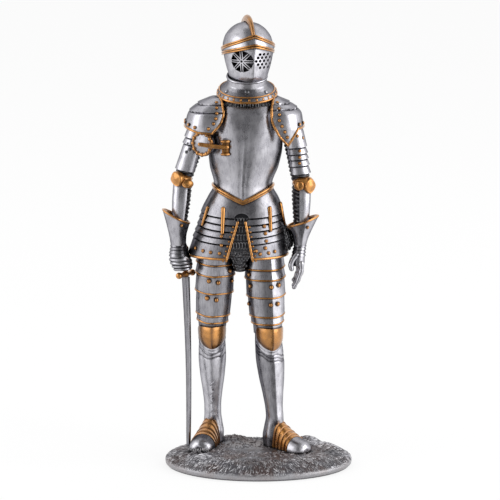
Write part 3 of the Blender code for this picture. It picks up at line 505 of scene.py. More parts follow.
class Finish:
    """A material with one shader, and short ways to add the nodes that feed it."""

    def __init__(self, name, metallic):
        self.material = bpy.data.materials.new(name)
        self.material.use_nodes = True
        self.tree = self.material.node_tree
        self.shader = self.tree.nodes["Principled BSDF"]
        self.shader.inputs["Metallic"].default_value = metallic
        self.place = self.tree.nodes.new("ShaderNodeTexCoord").outputs["Object"]

    def add(self, kind, inputs, **settings):
        node = self.tree.nodes.new(kind)
        for key, value in settings.items():
            setattr(node, key, value)
        for key, value in inputs.items():
            if isinstance(value, bpy.types.NodeSocket):
                self.tree.links.new(value, node.inputs[key])
            else:
                node.inputs[key].default_value = value
        return node

    def feed(self, base, roughness):
        self.tree.links.new(base, self.shader.inputs["Base Color"])
        self.tree.links.new(roughness, self.shader.inputs["Roughness"])

    def painted(self):
        """The share painted on each point of the mesh: painted shade on metal and gold, and wear and painted
        highlights on the base.
        """
        return self.add("ShaderNodeAttribute", {}, attribute_name="paint").outputs["Fac"]

    def noise(self, size, detail=2.0, stretch=(1, 1, 1)):
        """Cloudy noise with features of about a size in millimetres, longer where stretched."""
        scale = [1 / (size * MM * part) for part in stretch]
        place = self.add("ShaderNodeMapping", {"Vector": self.place, "Scale": scale}).outputs["Vector"]
        cloud = self.add("ShaderNodeTexNoise", {"Vector": place, "Scale": 1.0, "Detail": detail})
        return cloud.outputs["Fac"]

    def ramp(self, factor, *stops):
        """Maps a factor through stops of a position and a grey value."""
        node = self.add("ShaderNodeValToRGB", {"Fac": factor})
        while len(node.color_ramp.elements) < len(stops):
            node.color_ramp.elements.new(0.5)
        for element, (position, grey) in zip(node.color_ramp.elements, stops):
            element.position = position
            element.color = (grey, grey, grey, 1.0)
        return node.outputs["Color"]

    def mix(self, factor, low, high):
        """Blends two colours, each a name or another blend."""
        node = self.add("ShaderNodeMix", {"Factor": factor}, data_type="RGBA")
        sockets = [socket for socket in node.inputs if socket.type == "RGBA"]
        for socket, value in zip(sockets, (low, high)):
            if isinstance(value, str):
                socket.default_value = (*colour(value), 1.0)
            else:
                self.tree.links.new(value, socket)
        return next(socket for socket in node.outputs if socket.type == "RGBA")

    def times(self, a, b):
        return self.add("ShaderNodeMath", {0: a, 1: b}, operation="MULTIPLY").outputs["Value"]

    def recess(self, reach, dark, open_):
        """One in corners and grooves, zero on open faces: painted shade there, which also stands for the
        casting's dark wash.
        """
        node = self.add("ShaderNodeAmbientOcclusion", {"Distance": reach * MM}, samples=8)
        return self.ramp(node.outputs["AO"], (dark, 1.0), (open_, 0.0))

    def edges(self, low, high):
        """One on sharp raised edges."""
        node = self.tree.nodes.new("ShaderNodeNewGeometry")
        return self.ramp(node.outputs["Pointiness"], (low, 0.0), (high, 1.0))

    def relief(self, height, strength, depth):
        """A fine unevenness with a depth in millimetres."""
        bump = self.add("ShaderNodeBump", {"Height": height, "Strength": strength, "Distance": depth * MM})
        self.tree.links.new(bump.outputs["Normal"], self.shader.inputs["Normal"])


def pewter(name, high="pewter"):
    made = Finish(name, 1.0)
    made.shader.inputs["Specular Tint"].default_value = PEWTER_GLANCE
    cloud = made.noise(2.2, 5)
    streaks = made.noise(0.26, 4, stretch=(1, 1, 9))
    grain = made.noise(0.35, 4)
    metal = made.mix(made.ramp(cloud, (0.36, 0.0), (0.62, 1.0)), "pewter_low", high)
    scratches = made.ramp(streaks, (0.36, 0.34), (0.52, 0.0))
    scratched = made.times(scratches, made.ramp(grain, (0.35, 1.0), (0.6, 0.2)))
    metal = made.mix(scratched, metal, "wash_and_shade")
    # Painted shade from the painted share of each point: darker sides, creases and whole parts
    painted_shade = made.times(made.painted(), made.ramp(streaks, (0.35, 1.0), (0.65, 0.82)))
    metal = made.mix(painted_shade, metal, "wash_and_shade")
    # Painted shade in corners and grooves, with the casting's dark wash there
    hollow_wash_and_shade = made.times(made.recess(1.0, 0.38, 0.88), made.ramp(grain, (0.25, 1.0), (0.85, 0.75)))
    metal = made.mix(hollow_wash_and_shade, metal, "wash_and_shade")
    made.feed(metal, made.ramp(cloud, (0.3, 0.24), (0.7, 0.34)))
    made.relief(made.mix(cloud, streaks, grain), 0.2, 0.07)
    return made.material


def sword_steel(name):
    return pewter(name, high="blade")


def gold_paint(name):
    made = Finish(name, 0.9)
    made.shader.inputs["Coat Weight"].default_value = GOLD_COAT
    made.shader.inputs["Coat Roughness"].default_value = GOLD_COAT_ROUGHNESS
    cloud = made.noise(1.6, 4)
    grain = made.noise(0.2, 3)
    tint = made.mix(made.ramp(cloud, (0.34, 0.45), (0.66, 0.0)), "gold", "gold_low")
    # Painted shade: the painted share turns the gold brown
    tint = made.mix(made.painted(), tint, "gold_low")
    # Painted shade in corners and grooves, with the casting's dark wash there
    hollow_wash_and_shade = made.times(made.recess(0.9, 0.35, 0.85), made.ramp(grain, (0.2, 1.0), (0.9, 0.75)))
    made.feed(made.mix(hollow_wash_and_shade, tint, "gold_low"), made.ramp(cloud, (0.3, 0.22), (0.7, 0.34)))
    made.relief(grain, 0.18, 0.06)
    return made.material


def mail(name):
    made = Finish(name, 1.0)
    grain = made.noise(0.4, 4)
    worn = made.times(made.edges(0.5, 0.62), made.ramp(grain, (0.35, 0.15), (0.65, 1.0)))
    # Painted shade in corners and grooves, with the dark wash there
    hollow_wash_and_shade = made.recess(0.8, 0.3, 0.85)
    metal = made.mix(worn, "mail", "mail_high")
    made.feed(made.mix(hollow_wash_and_shade, metal, "wash_and_shade"), made.ramp(grain, (0.3, 0.36), (0.7, 0.55)))
    made.relief(grain, 0.3, 0.08)
    return made.material


def ground(name):
    made = Finish(name, 0.75)
    cloud = made.noise(5.0, 4)
    grain = made.noise(0.3, 4)
    soil = made.mix(made.ramp(cloud, (0.42, 0.0), (0.6, 1.0)), "ground", "earth")
    # Wear brightens the rim of the base; on the grass the same share is a painted highlight towards the tips
    wear_and_highlight = made.times(made.painted(), made.ramp(grain, (0.3, 0.55), (0.6, 1.0)))
    metal = made.mix(wear_and_highlight, soil, "rim")
    # Painted shade in corners and grooves, with the dark wash there
    hollow_wash_and_shade = made.times(made.recess(0.9, 0.3, 0.8), made.ramp(grain, (0.2, 1.0), (0.9, 0.7)))
    made.feed(made.mix(hollow_wash_and_shade, metal, "wash_and_shade"), made.ramp(grain, (0.3, 0.36), (0.7, 0.55)))
    made.relief(grain, 0.45, 0.12)
    return made.material


FINISHES = {
    "pewter": ("cast pewter", pewter),
    "gold_paint": ("gold paint", gold_paint),
    "mail": ("dark mail", mail),
    "ground": ("grassy ground", ground),
    "blade": ("sword steel", sword_steel),
}


def finish(slot):
    """The material of a slot, made once."""
    name, make = FINISHES[slot]
    return bpy.data.materials.get(name) or make(name)


# Stage: camera, lamps, white surroundings and floor

CAMERA_PLACE, CAMERA_TILT, CAMERA_LENS, SENSOR = (-0.002156, -0.640, 0.162), 9.5105, 186.77, 36.0
FLOOR_SIDE, FLOOR_Z, FLOOR_TONE, FLOOR_GLOW = 6.0, -0.0001, 0.9, 0.8
FAN_Z = 0.0005
# Each lamp has a place, a width and height, and a power
LAMPS = {
    "right box": ((0.75, -0.20, 0.30), (0.70, 0.90), 4.5),
    "left box": ((-0.80, -0.20, 0.35), (0.60, 0.90), 2.4),
}
AIM = (0.0, 0.0, 0.055)
AMBIENT = 0.9
# Cards that only reflections see: a place, a width and height, and a level of grey
CARDS = {
    "front card": ((0.0, -0.9, 0.6), (1.25, 1.25), 0.22),
    "ceiling card": ((0.0, -0.15, 1.15), (0.8, 1.0), 0.25),
}
# Cards that lie on the floor and that only reflections see: four corners, and a level of grey
FANS = {
    "front fan": (((-0.02, -0.032), (0.015, -0.032), (0.47, -0.83), (-0.34, -0.83)), 0.22),
    "right fan": (((0.03, -0.024), (0.62, -0.60), (0.80, 0.25), (0.03, 0.01)), 1.35),
}


def aim_at(obj, place, target):
    obj.location = place
    obj.rotation_euler = (Vector(target) - Vector(place)).to_track_quat("-Z", "Y").to_euler()


def seen_directly(tree):
    """One for the rays that show the white surroundings: from the camera, from metal and from glass."""
    path = tree.nodes.new("ShaderNodeLightPath")
    first = tree.nodes.new("ShaderNodeMath")
    second = tree.nodes.new("ShaderNodeMath")
    first.operation = second.operation = "MAXIMUM"
    tree.links.new(path.outputs["Is Camera Ray"], first.inputs[0])
    tree.links.new(path.outputs["Is Glossy Ray"], first.inputs[1])
    tree.links.new(first.outputs["Value"], second.inputs[0])
    tree.links.new(path.outputs["Is Transmission Ray"], second.inputs[1])
    return second.outputs["Value"]


def make_world():
    world = bpy.data.worlds.new("white room")
    bpy.context.scene.world = world
    world.use_nodes = True
    tree = world.node_tree
    tree.nodes.clear()
    white, soft = tree.nodes.new("ShaderNodeBackground"), tree.nodes.new("ShaderNodeBackground")
    white.inputs["Color"].default_value = (1, 1, 1, 1)
    soft.inputs["Color"].default_value = (AMBIENT, AMBIENT, AMBIENT, 1)
    mix, out = tree.nodes.new("ShaderNodeMixShader"), tree.nodes.new("ShaderNodeOutputWorld")
    tree.links.new(seen_directly(tree), mix.inputs[0])
    tree.links.new(soft.outputs[0], mix.inputs[1])
    tree.links.new(white.outputs[0], mix.inputs[2])
    tree.links.new(mix.outputs[0], out.inputs["Surface"])


def floor_material():
    made = bpy.data.materials.new("white floor")
    made.use_nodes = True
    tree = made.node_tree
    tree.nodes.clear()
    cloth, glow = tree.nodes.new("ShaderNodeBsdfDiffuse"), tree.nodes.new("ShaderNodeEmission")
    cloth.inputs["Color"].default_value = (FLOOR_TONE, FLOOR_TONE, FLOOR_TONE, 1)
    glow.inputs["Color"].default_value = (1, 1, 1, 1)
    part = tree.nodes.new("ShaderNodeMath")
    part.operation = "MULTIPLY"
    part.inputs[1].default_value = FLOOR_GLOW
    mix, out = tree.nodes.new("ShaderNodeMixShader"), tree.nodes.new("ShaderNodeOutputMaterial")
    tree.links.new(seen_directly(tree), part.inputs[0])
    tree.links.new(part.outputs["Value"], mix.inputs[0])
    tree.links.new(cloth.outputs[0], mix.inputs[1])
    tree.links.new(glow.outputs[0], mix.inputs[2])
    tree.links.new(mix.outputs[0], out.inputs["Surface"])
    return made


def card_material(name, level):
    made = bpy.data.materials.new(name)
    made.use_nodes = True
    tree = made.node_tree
    tree.nodes.clear()
    glow, out = tree.nodes.new("ShaderNodeEmission"), tree.nodes.new("ShaderNodeOutputMaterial")
    glow.inputs["Color"].default_value = (level, level, level, 1)
    tree.links.new(glow.outputs[0], out.inputs["Surface"])
    return made


def box_corners(width, depth):
    return [(x * width / 2, y * depth / 2) for x, y in ((-1, -1), (1, -1), (1, 1), (-1, 1))]


def flat_sheet(name, corners, material):
    mesh = bpy.data.meshes.new(name)
    mesh.from_pydata([(x, y, 0.0) for x, y in corners], [], [tuple(range(len(corners)))])
    mesh.materials.append(material)
    obj = bpy.data.objects.new(name, mesh)
    bpy.context.scene.collection.objects.link(obj)
    return obj


def make_camera(scene):
    camera = bpy.data.objects.new("camera", bpy.data.cameras.new("camera"))
    camera.location = CAMERA_PLACE
    camera.rotation_euler = (math.radians(90 - CAMERA_TILT), 0, 0)
    camera.data.lens = CAMERA_LENS
    camera.data.sensor_width = SENSOR
    scene.collection.objects.link(camera)
    scene.camera = camera


def make_lamps(scene):
    for name, (place, size, power) in LAMPS.items():
        light = bpy.data.lights.new(name, "AREA")
        light.shape = "RECTANGLE"
        light.size, light.size_y = size
        light.energy = power
        lamp = bpy.data.objects.new(name, light)
        scene.collection.objects.link(lamp)
        aim_at(lamp, place, AIM)


def make_cards():
    cards = []
    for name, (place, size, level) in CARDS.items():
        cards.append(flat_sheet(name, box_corners(*size), card_material(name, level)))
        aim_at(cards[-1], place, AIM)
    for name, (corners, level) in FANS.items():
        cards.append(flat_sheet(name, corners, card_material(name, level)))
        cards[-1].location.z = FAN_Z
    for card in cards:
        card.visible_camera = False
        card.visible_diffuse = False
        card.visible_shadow = False


def make_stage():
    scene = bpy.context.scene
    scene.view_settings.view_transform = "Standard"
    make_camera(scene)
    make_world()
    flat_sheet("floor", box_corners(FLOOR_SIDE, FLOOR_SIDE), floor_material()).location.z = FLOOR_Z
    make_lamps(scene)
    make_cards()


# Base: an oval plate with short grass

BASE_HALF_W, BASE_HALF_D = 23.6, 19.2
BASE_WALL = ((0.0, 0.6), (0.5, 0.1), (1.0, 0.0))
TURF_INSETS = (0.0, 0.4, 1.3, 2.8, 4.6, 6.4, 19.0)
TURF_HEIGHTS = (1.4, 1.9, 2.35, 2.85, 3.2, GROUND, GROUND)
BASE_SIDES = 260
WALL_WORN, PATCH_WORN = 0.42, 0.3
PATCH_X, PATCH_Y, PATCH_HALF_W, PATCH_HALF_D = -2.0, 5.0, 6.5, 4.0
# Each mound has a middle, a reach and a rise
MOUNDS = (
    (-7.0, 15.6, 4.6, 0.75), (-10.6, 12.6, 4.2, 0.3), (13.4, 13.0, 4.4, 1.15), (-0.8, 17.5, 4.5, -0.5),
    (5.5, 14.8, 3.2, 0.35), (18.0, 8.6, 3.0, 0.3), (18.8, 4.0, 3.0, 0.3), (19.6, -1.5, 2.8, 0.25),
    (17.0, -6.5, 3.0, 0.3), (13.0, -10.0, 3.2, 0.35), (8.5, -12.8, 3.0, 0.3), (3.5, -14.2, 3.0, 0.3),
    (-1.5, -14.8, 2.8, 0.3), (-6.5, -13.6, 3.0, 0.35), (-11.0, -11.2, 3.0, 0.35), (-15.0, -8.0, 3.0, 0.4),
    (-18.2, -3.6, 2.4, 0.5), (-15.6, -4.2, 2.2, 0.55), (-12.8, -4.8, 2.2, 0.45), (-20.0, 0.8, 2.4, 0.3),
    (8.0, -7.8, 3.0, 0.3), (3.0, -9.2, 3.0, 0.3), (-2.5, -9.8, 3.0, 0.3), (-8.0, -8.2, 3.0, 0.35),
)
TUFTS = ((-17.6, -3.4), (-15.6, -4.4), (-13.6, -3.4), (-16.4, -2.4))
TUFT_BLADES, TUFT_BLADE = 30, 0.24
GRASS_SEED = 7


def mounds(x, y):
    """Lift of the ground by its low mounds, the same ones as in the solid."""
    lift = 0.0 * x
    for mound_x, mound_y, reach, rise in MOUNDS:
        share = ((x - mound_x) ** 2 + (y - mound_y) ** 2) / reach**2
        lift = lift + rise * np.maximum(0, 1 - share) ** 2
    return lift


def turf(inset, angle):
    """A place on the ground, in from the edge of the oval."""
    inset, angle = np.broadcast_arrays(inset, angle)
    x, y = (BASE_HALF_W - inset) * np.sin(angle), -(BASE_HALF_D - inset) * np.cos(angle)
    z = through(TURF_INSETS, TURF_HEIGHTS, inset) + mounds(x, y) * ease((inset - 0.4) / 1.2)
    ripple = 0.07 * np.sin(x * 2.9 + 1.3 * np.sin(y * 1.7)) * np.sin(y * 3.3 + np.sin(x * 2.1))
    return np.stack([x, y, z + ripple * ease((inset - 0.5) / 1.5)], -1)


def strokes(clay, roots, tips, rises, width, shine):
    """Thin blades of grass, each from a root to a tip, with a rise between, and a painted highlight towards
    the tip by its shine.
    """
    spine = np.linspace(0, 1, 6)
    taper = np.array((0.7, 1.0, 0.95, 0.8, 0.5, 0.12))
    ways = unit(tips - roots)
    side = unit(np.cross(ways, UP))
    path = roots[:, None] + (tips - roots)[:, None] * spine[:, None]
    path[..., 2] += rises[:, None] * np.sin(spine * 2.2)
    half = (width[:, None] * taper)[..., None, None]
    corners = ((-1.0, -0.8), (0.0, 0.8), (1.0, -0.8))
    rings = [path[:, :, None] + half * (u * side[:, None, None] + UP * v) for u, v in corners]
    rings = np.concatenate(rings, 2)
    for blade, glint in zip(rings, shine):
        clay.body(blade, paint=(0.05 + glint * spine)[:, None])


def grow_fringe(clay, rng, count):
    """Blades that lean out towards the edge of the base."""
    inset = 0.3 + 8.5 * rng.uniform(0, 1, count) ** 1.4
    angle = rng.uniform(-math.pi, math.pi, count)
    roots = turf(inset, angle)
    tips = turf(np.maximum(inset - rng.uniform(0.9, 1.9, count), 0.05), angle + rng.normal(0, 0.02, count))
    width = mm("blade") * rng.uniform(0.7, 1.3, count)
    strokes(clay, roots, tips, rng.uniform(0.05, 0.2, count), width, rng.uniform(0.0, 1.1, count))


def grow_middle(clay, rng, count):
    """Blades that lie any way on the middle of the base."""
    inset, angle = rng.uniform(8, 17, count), rng.uniform(-math.pi, math.pi, count)
    roots = turf(inset, angle)
    tips = roots + np.stack([*rng.uniform(-0.9, 0.9, (2, count)), np.zeros(count)], -1)
    width = mm("blade") * rng.uniform(0.8, 1.4, count)
    strokes(clay, roots, tips, rng.uniform(0.02, 0.08, count), width, rng.uniform(0.0, 0.6, count))


def grow_tuft(clay, rng, x, y):
    """Blades that stand up in one tuft."""
    count = TUFT_BLADES
    spread, out = rng.uniform(0, math.tau, count), rng.uniform(0.1, 0.8, count)
    way = np.stack([np.cos(spread), np.sin(spread), np.zeros(count)], -1)
    roots = np.array((x, y, GROUND)) + way * out[:, None]
    tips = roots + way * 0.45 + UP * rng.uniform(0.7, 1.3, count)[:, None]
    strokes(clay, roots, tips, np.zeros(count), np.full(count, TUFT_BLADE), rng.uniform(0.2, 1.0, count))


def make_grass():
    rng = np.random.default_rng(GRASS_SEED)
    count = bpy.context.scene.knight_sizes.grass
    clay = Clay()
    grow_fringe(clay, rng, count)
    grow_middle(clay, rng, count // 4)
    for x, y in TUFTS:
        grow_tuft(clay, rng, x, y)
    add_piece("base_grass", clay, "ground", sharp=80)


def make_base():
    angles = around(BASE_SIDES)
    walls = []
    for z, inset in BASE_WALL:
        half_w, half_d = BASE_HALF_W - inset, BASE_HALF_D - inset
        oval = [half_w * np.sin(angles), -half_d * np.cos(angles), np.full(BASE_SIDES, z)]
        walls.append(np.stack(oval, -1))
    insets = np.concatenate([np.linspace(0, 2, 14), np.linspace(2.2, 18.6, 70)])
    rings = np.concatenate([np.array(walls), turf(insets[:, None], angles[None, :])])
    fringe = 0.25 + 0.12 * np.sin(angles * 37) + 0.1 * np.sin(angles * 61 + 1)
    edge = ease((fringe - insets[:, None]) / 0.25 + 0.5)
    worn = np.concatenate([np.ones((len(walls), BASE_SIDES)), edge]) * WALL_WORN
    away_x = (rings[..., 0] - PATCH_X) / PATCH_HALF_W
    away_y = (rings[..., 1] - PATCH_Y) / PATCH_HALF_D
    clay = Clay()
    clay.body(rings, paint=worn + PATCH_WORN * np.exp(-(away_x**2 + away_y**2)))
    add_piece("base", clay, "ground", "base")


# Legs: painted shade is given as a share on the right and on the left of a ridge

CUISSE = (
    (0.0, 4.4, 4.9, 0), (0.35, 4.75, 5.1, 0), (0.6, 4.5, 4.7, 0), (0.82, 3.95, 4.2, 0), (0.92, 3.45, 3.9, 0),
    (1.0, 3.15, 3.7, 0),
)
CUISSE_LINES = {"right": (50.4, 47.6, 43.1, 37.2, 35.4), "left": (49.4, 46.8, 42.3, 37.3, 35.4)}
CUISSE_RISE = 0.55
THIGH_RIDGE, SHIN_RIDGE = 0.42, 0.7
# Painted shade on the two sides of the ridge of each thigh and shin, right and left
THIGH_SHADE = {"right": (0.48, 0.66), "left": (0.45, 0.0)}
SHIN_SHADE = {"right": (0.0, 0.0), "left": (0.6, 0.0)}
SHIN_FOLDS = {
    "right": ((26.9, 2.2, 0.0), (26.0, 1.0, 0.0)),
    "left": ((27.6, 0.6, -1.1), (26.7, 0.6, -1.1), (25.9, 0.8, -0.9)),
}
# Wash and painted shade in the creases under the knee
SHIN_FOLD_WASH_AND_SHADE, SHIN_FOLD_DEPTH = 0.85, 0.14
CUISSE_RIVETS = {
    "right": ((-12.4, 46.5), (-10.2, 46.1), (-6.9, 46.2), (-12.9, 42.0), (-10.7, 41.6), (-7.4, 48.9)),
    "left": ((-2.2, 48.1), (-1.9, 45.2), (3.3, 45.2), (4.9, 45.5), (3.1, 40.6), (4.7, 40.7), (-2.2, 40.3)),
}
POLEYN = (
    (2.6, 3.45, 4.9), (1.0, 3.65, 5.25), (-0.8, 3.6, 5.3), (-2.4, 3.3, 5.0), (-4.0, 2.8, 4.4),
    (-6.0, 2.6, 4.2),
)
KNEE_RIDGE = 0.7
KNEE_LAME = ((2.6, 3.3, 4.2), (-0.8, 3.5, 4.7), (-2.4, 3.5, 4.6), (-4.0, 3.4, 4.2), (-6.0, 3.35, 3.9))
SHIELD_DROPS = (-1.9, -1.0, 0.5, 1.8, 2.8, 3.4, 3.7)
SHIELD_WIDTHS = (3.25, 3.5, 3.4, 2.95, 2.15, 1.2, 0.3)
# Painted shade on the knee caps, as it fades in on the right and on the left
KNEE_FADE = {"right": (0.85, 0.75), "left": (0.75, 0.1)}
# Wash and painted shade on the lower rims of the plates under the knee
LAME_DROPS, LAME_RIM_WASH_AND_SHADE = ((0.7, 0.0), (1.5, -0.15)), 0.85
GREAVE = (
    (0.0, 3.2, 3.4, 0), (0.14, 3.4, 3.8, 0.3), (0.3, 3.5, 4.0, 0.7), (0.52, 3.15, 3.6, 0.6),
    (0.74, 2.5, 2.9, 0.3), (0.92, 2.15, 2.45, 0.1), (1.0, 2.15, 2.5, 0.1),
)
HEEL = ((8.4, 2.4, 2.8, 0.2), (5.8, 2.75, 3.1, 0.3), (SOLE, 2.6, 2.9, 0.3))
HEEL_BACK, BALL_OF_FOOT = 3.2, 10.9
INSTEP = ((2.9, 2.15, 6.7), (4.6, 2.35, 6.5), (6.4, 2.65, 5.6), (8.4, 2.95, 4.3), (BALL_OF_FOOT, 3.15, 2.95))
TOE = (
    (BALL_OF_FOOT + 0.1, 3.15, 2.9), (12.4, 3.05, 2.5), (13.7, 2.6, 2.0), (14.5, 1.7, 1.4), (14.8, 0.9, 0.9),
)
FOOT_LINES, FOOT_STEP, FOOT_LINE_WASH_AND_SHADE = (4.4, 5.8, 7.2, 8.6, 9.8), 0.26, 0.7
FOOT_POWER, FOOT_SIDES = 2.3, 33
TOE_SHADE = {"right": 0.9, "left": 0.3}


def cuisse_heights(rows, angles, side):
    """Heights that follow the plate edges, which rise towards the outside of the thigh."""
    rise = CUISSE_RISE * ease((OUTER[side] * np.sin(angles) - 0.15) / 0.85)
    fade = ease((rows - 33.5) / 2) * ease((54.5 - rows) / 3)
    return rows[:, None] + rise[None, :] * fade[:, None]


def facet_shade(angles, right, left):
    """Painted shade on the two sides of a ridge, the figure's right and left, so that one side is darker than
    the other.
    """
    return right + (left - right) * ease(angles / 0.06 + 0.5)


def thigh_skin(leg):
    rows = [row._replace(ridge=THIGH_RIDGE) for row in limb(CUISSE, leg.hip, leg.knee)]
    return Skin(rows, leg.thigh_turn, keel=0.9)


def make_thigh(side, leg):
    lines = CUISSE_LINES[side]
    angles = around(120)
    rows = heights(leg.knee[2] + 0.1, leg.hip[2] - 0.5, 0.45, lines)
    out = lames(rows, lines, mm("step"), leg.knee[2], leg.hip[2], groove=0.2)[:, None]
    rings = thigh_skin(leg).surface(angles, cuisse_heights(rows, angles, side), out)[0]
    clay = Clay()
    # Painted shade on one side of the thigh plate
    clay.body(rings, facet_shade(angles, *THIGH_SHADE[side]))
    add_piece(f"{side}_cuisse", clay, "pewter", f"{side}_cuisse", sharp=38)


def make_thigh_lines(side, leg):
    skin = thigh_skin(leg)
    angles = around(120)
    gold = Clay()
    for z in CUISSE_LINES[side]:
        level = cuisse_heights(np.array([z]), angles, side)[0]
        gold.bead(*skin.surface(angles, level, mm("step") * 0.8), mm("line"), closed=True)
    gold.domes(*skin.spots(CUISSE_RIVETS[side], 0.35), mm("rivet") * 1.15)
    add_piece(f"{side}_cuisse_lines", gold, "gold_paint")


def shield(clay, skin, knee_z, shift, spread, out, thickness, rim_wash=0.0, fade=(0.0, 0.0)):
    """A knee plate with a pointed foot. Wash and painted shade darken its rim, or painted shade fades in from
    the right and the left.
    """
    drops = np.linspace(SHIELD_DROPS[0], SHIELD_DROPS[-1], 30)
    half = through(SHIELD_DROPS, SHIELD_WIDTHS, drops) * spread
    z = (knee_z - drops - shift)[::-1]
    girth = through(skin.knots, skin.table[:, 2], z)
    reach = np.clip(half[::-1] / girth, 0, 0.995) ** (skin.box / 2)
    across = np.linspace(-1, 1, 61)
    angles = np.arcsin(reach)[:, None] * across
    # Painted shade: darker towards the sides, the foot and down the middle of the cap, and darkest on the rim
    sides = np.where(across < 0, *fade) * ease((np.abs(across) - 0.25) / 0.75)
    foot = max(fade) * 0.6 * ease(drops[::-1] / 3.4 - 0.1)[:, None]
    rim = sides + foot + max(fade) * (0.2 + 0.6 * np.exp(-((across / 0.04) ** 2)))
    rim[:2] = rim[:, :3] = rim[:, -3:] = max(rim_wash, *fade)
    clay.plate(skin, angles, z[:, None] + 0 * angles, out, thickness, paint=rim)


def knee_skin(leg, sections):
    x, y, z = leg.knee
    rows = [Row(z + up, x, y, half_w, half_d, 2.0, KNEE_RIDGE) for up, half_w, half_d in sections]
    return Skin(rows, leg.knee_turn, keel=0.65, box=2.5)


def make_knee(side, leg):
    clay = Clay()
    shield(clay, knee_skin(leg, POLEYN), leg.knee[2], 0.0, 1.0, 0.1, 1.2, fade=KNEE_FADE[side])
    add_piece(f"{side}_poleyn", clay, "gold_paint", f"{side}_poleyn", sharp=30)


def make_knee_lame(side, leg):
    """Two plates that show below the knee cap, and a small ear beside the right one."""
    x, y, z = leg.knee
    skin = knee_skin(leg, KNEE_LAME)
    lame = Clay()
    for drop, out in LAME_DROPS:
        shield(lame, skin, z, drop, 1.06, out, 1.0, rim_wash=LAME_RIM_WASH_AND_SHADE)
    if side == "right":
        lame.leaf((x + 3.0, y - 2.0, z - 0.4), 55, 0.8, 1.3, 0.3, power=1.6, rim=0.1)
    add_piece(f"{side}_knee_lame", lame, "pewter")


def shin_rows(leg):
    top = (leg.knee[0], leg.knee[1], leg.knee[2] - 0.25)
    turn = math.radians(leg.foot_turn)
    rows = [row._replace(ridge=SHIN_RIDGE) for row in limb(GREAVE, top, leg.ankle)]
    for z, half_w, half_d, back in HEEL:
        x, y = leg.ankle[0] - back * math.sin(turn), leg.ankle[1] + back * math.cos(turn)
        rows.append(Row(z, x, y, half_w, half_d, 2.4))
    return rows


def shin_folds(side, angles, z):
    """Creases under the knee, each a height, a rise to both sides and a slant, with wash and painted shade in
    them.
    """
    total = 0.0
    across = np.sin(angles)
    for level, rise, slant in SHIN_FOLDS[side]:
        fold = level + rise * np.abs(across) ** 1.5 + slant * across + 0.15 * np.sin(7 * angles)
        total = total + np.exp(-(((z - fold) / 0.2) ** 2)) * (np.cos(angles) > 0)
    return SHIN_FOLD_WASH_AND_SHADE * np.minimum(total, 1.0)


def make_shin(side, leg):
    skin = Skin(shin_rows(leg), leg.shin_turn, keel=0.65)
    angles = around(120)
    rows = np.linspace(SOLE, leg.knee[2] - 0.3, 130)
    groove = shin_folds(side, angles, rows[:, None])
    shade = facet_shade(angles, *SHIN_SHADE[side]) + groove
    if side == "right":
        # Painted shade: a dark line down the ridge of the right greave, from about 17 mm up
        shade = shade + 0.6 * np.exp(-((angles / 0.045) ** 2)) * ease((rows - 17) / 4)[:, None]
    clay = Clay()
    clay.body(skin.surface(angles, rows[:, None], -SHIN_FOLD_DEPTH * groove)[0], shade)
    if side == "right":
        z = np.linspace(20.0, 11.6, 40)
        seam, facing = skin.surface(0.06 * np.sin(z * 2.6), z, 0.0)
        clay.bead(seam, facing, 0.15 + 0.04 * np.sin(z * 5.0), sides=6, under=0.0)
    add_piece(f"{side}_greave", clay, "pewter", f"{side}_greave", sharp=38)


def foot_points(leg, rows, forward, angle, out=0.0):
    """Places on a foot: forward from the back of the heel, and an angle from its top to either side."""
    half_w, height = np.moveaxis(through([r[0] for r in rows], [r[1:] for r in rows], forward), -1, 0)
    side = (half_w + out) * np.sign(np.sin(angle)) * np.abs(np.sin(angle)) ** (2 / FOOT_POWER)
    up = (height + out) * np.abs(np.cos(angle)) ** (2 / FOOT_POWER)
    turn = math.radians(leg.foot_turn)
    ahead = forward - HEEL_BACK + 0 * angle
    x = leg.ankle[0] + side * math.cos(turn) + ahead * math.sin(turn)
    y = leg.ankle[1] + side * math.sin(turn) - ahead * math.cos(turn)
    return np.stack([x, y, SOLE + up], -1)


def foot_fold():
    """Angles over the foot, and the fold along its top."""
    angles = np.linspace(-QUARTER, QUARTER, FOOT_SIDES)
    return angles, crease(angles, 0, 0.8, 0.18)


def make_sabaton(side, leg):
    angles, fold = foot_fold()
    rows = heights(INSTEP[0][0], BALL_OF_FOOT, 0.25, FOOT_LINES)
    out = FOOT_STEP - lames(rows, FOOT_LINES, FOOT_STEP, rows[0], rows[-1])
    # Wash and painted shade in the grooves between the plates of the foot
    apart = np.abs(rows[:, None] - np.array(FOOT_LINES)).min(1)
    lines = FOOT_LINE_WASH_AND_SHADE * np.exp(-((apart / 0.13) ** 2))
    clay = Clay()
    clay.body(foot_points(leg, INSTEP, rows[:, None], angles, out[:, None] + fold), lines[:, None])
    add_piece(f"{side}_sabaton", clay, "gold_paint", f"{side}_sabaton", sharp=40)


def make_toe_cap(side, leg):
    angles, fold = foot_fold()
    rows = np.linspace(TOE[0][0], TOE[-1][0], 30)
    # Painted shade: the toe cap is darker back from its tip
    shade = TOE_SHADE[side] * ease((TOE[-1][0] - rows) / 2.6)
    toe = Clay()
    toe.body(foot_points(leg, TOE, rows[:, None], angles, 0.1 + 1.6 * fold), paint=shade[:, None])
    add_piece(f"{side}_toe_cap", toe, "pewter", f"{side}_toe_cap", sharp=40)


# Waist

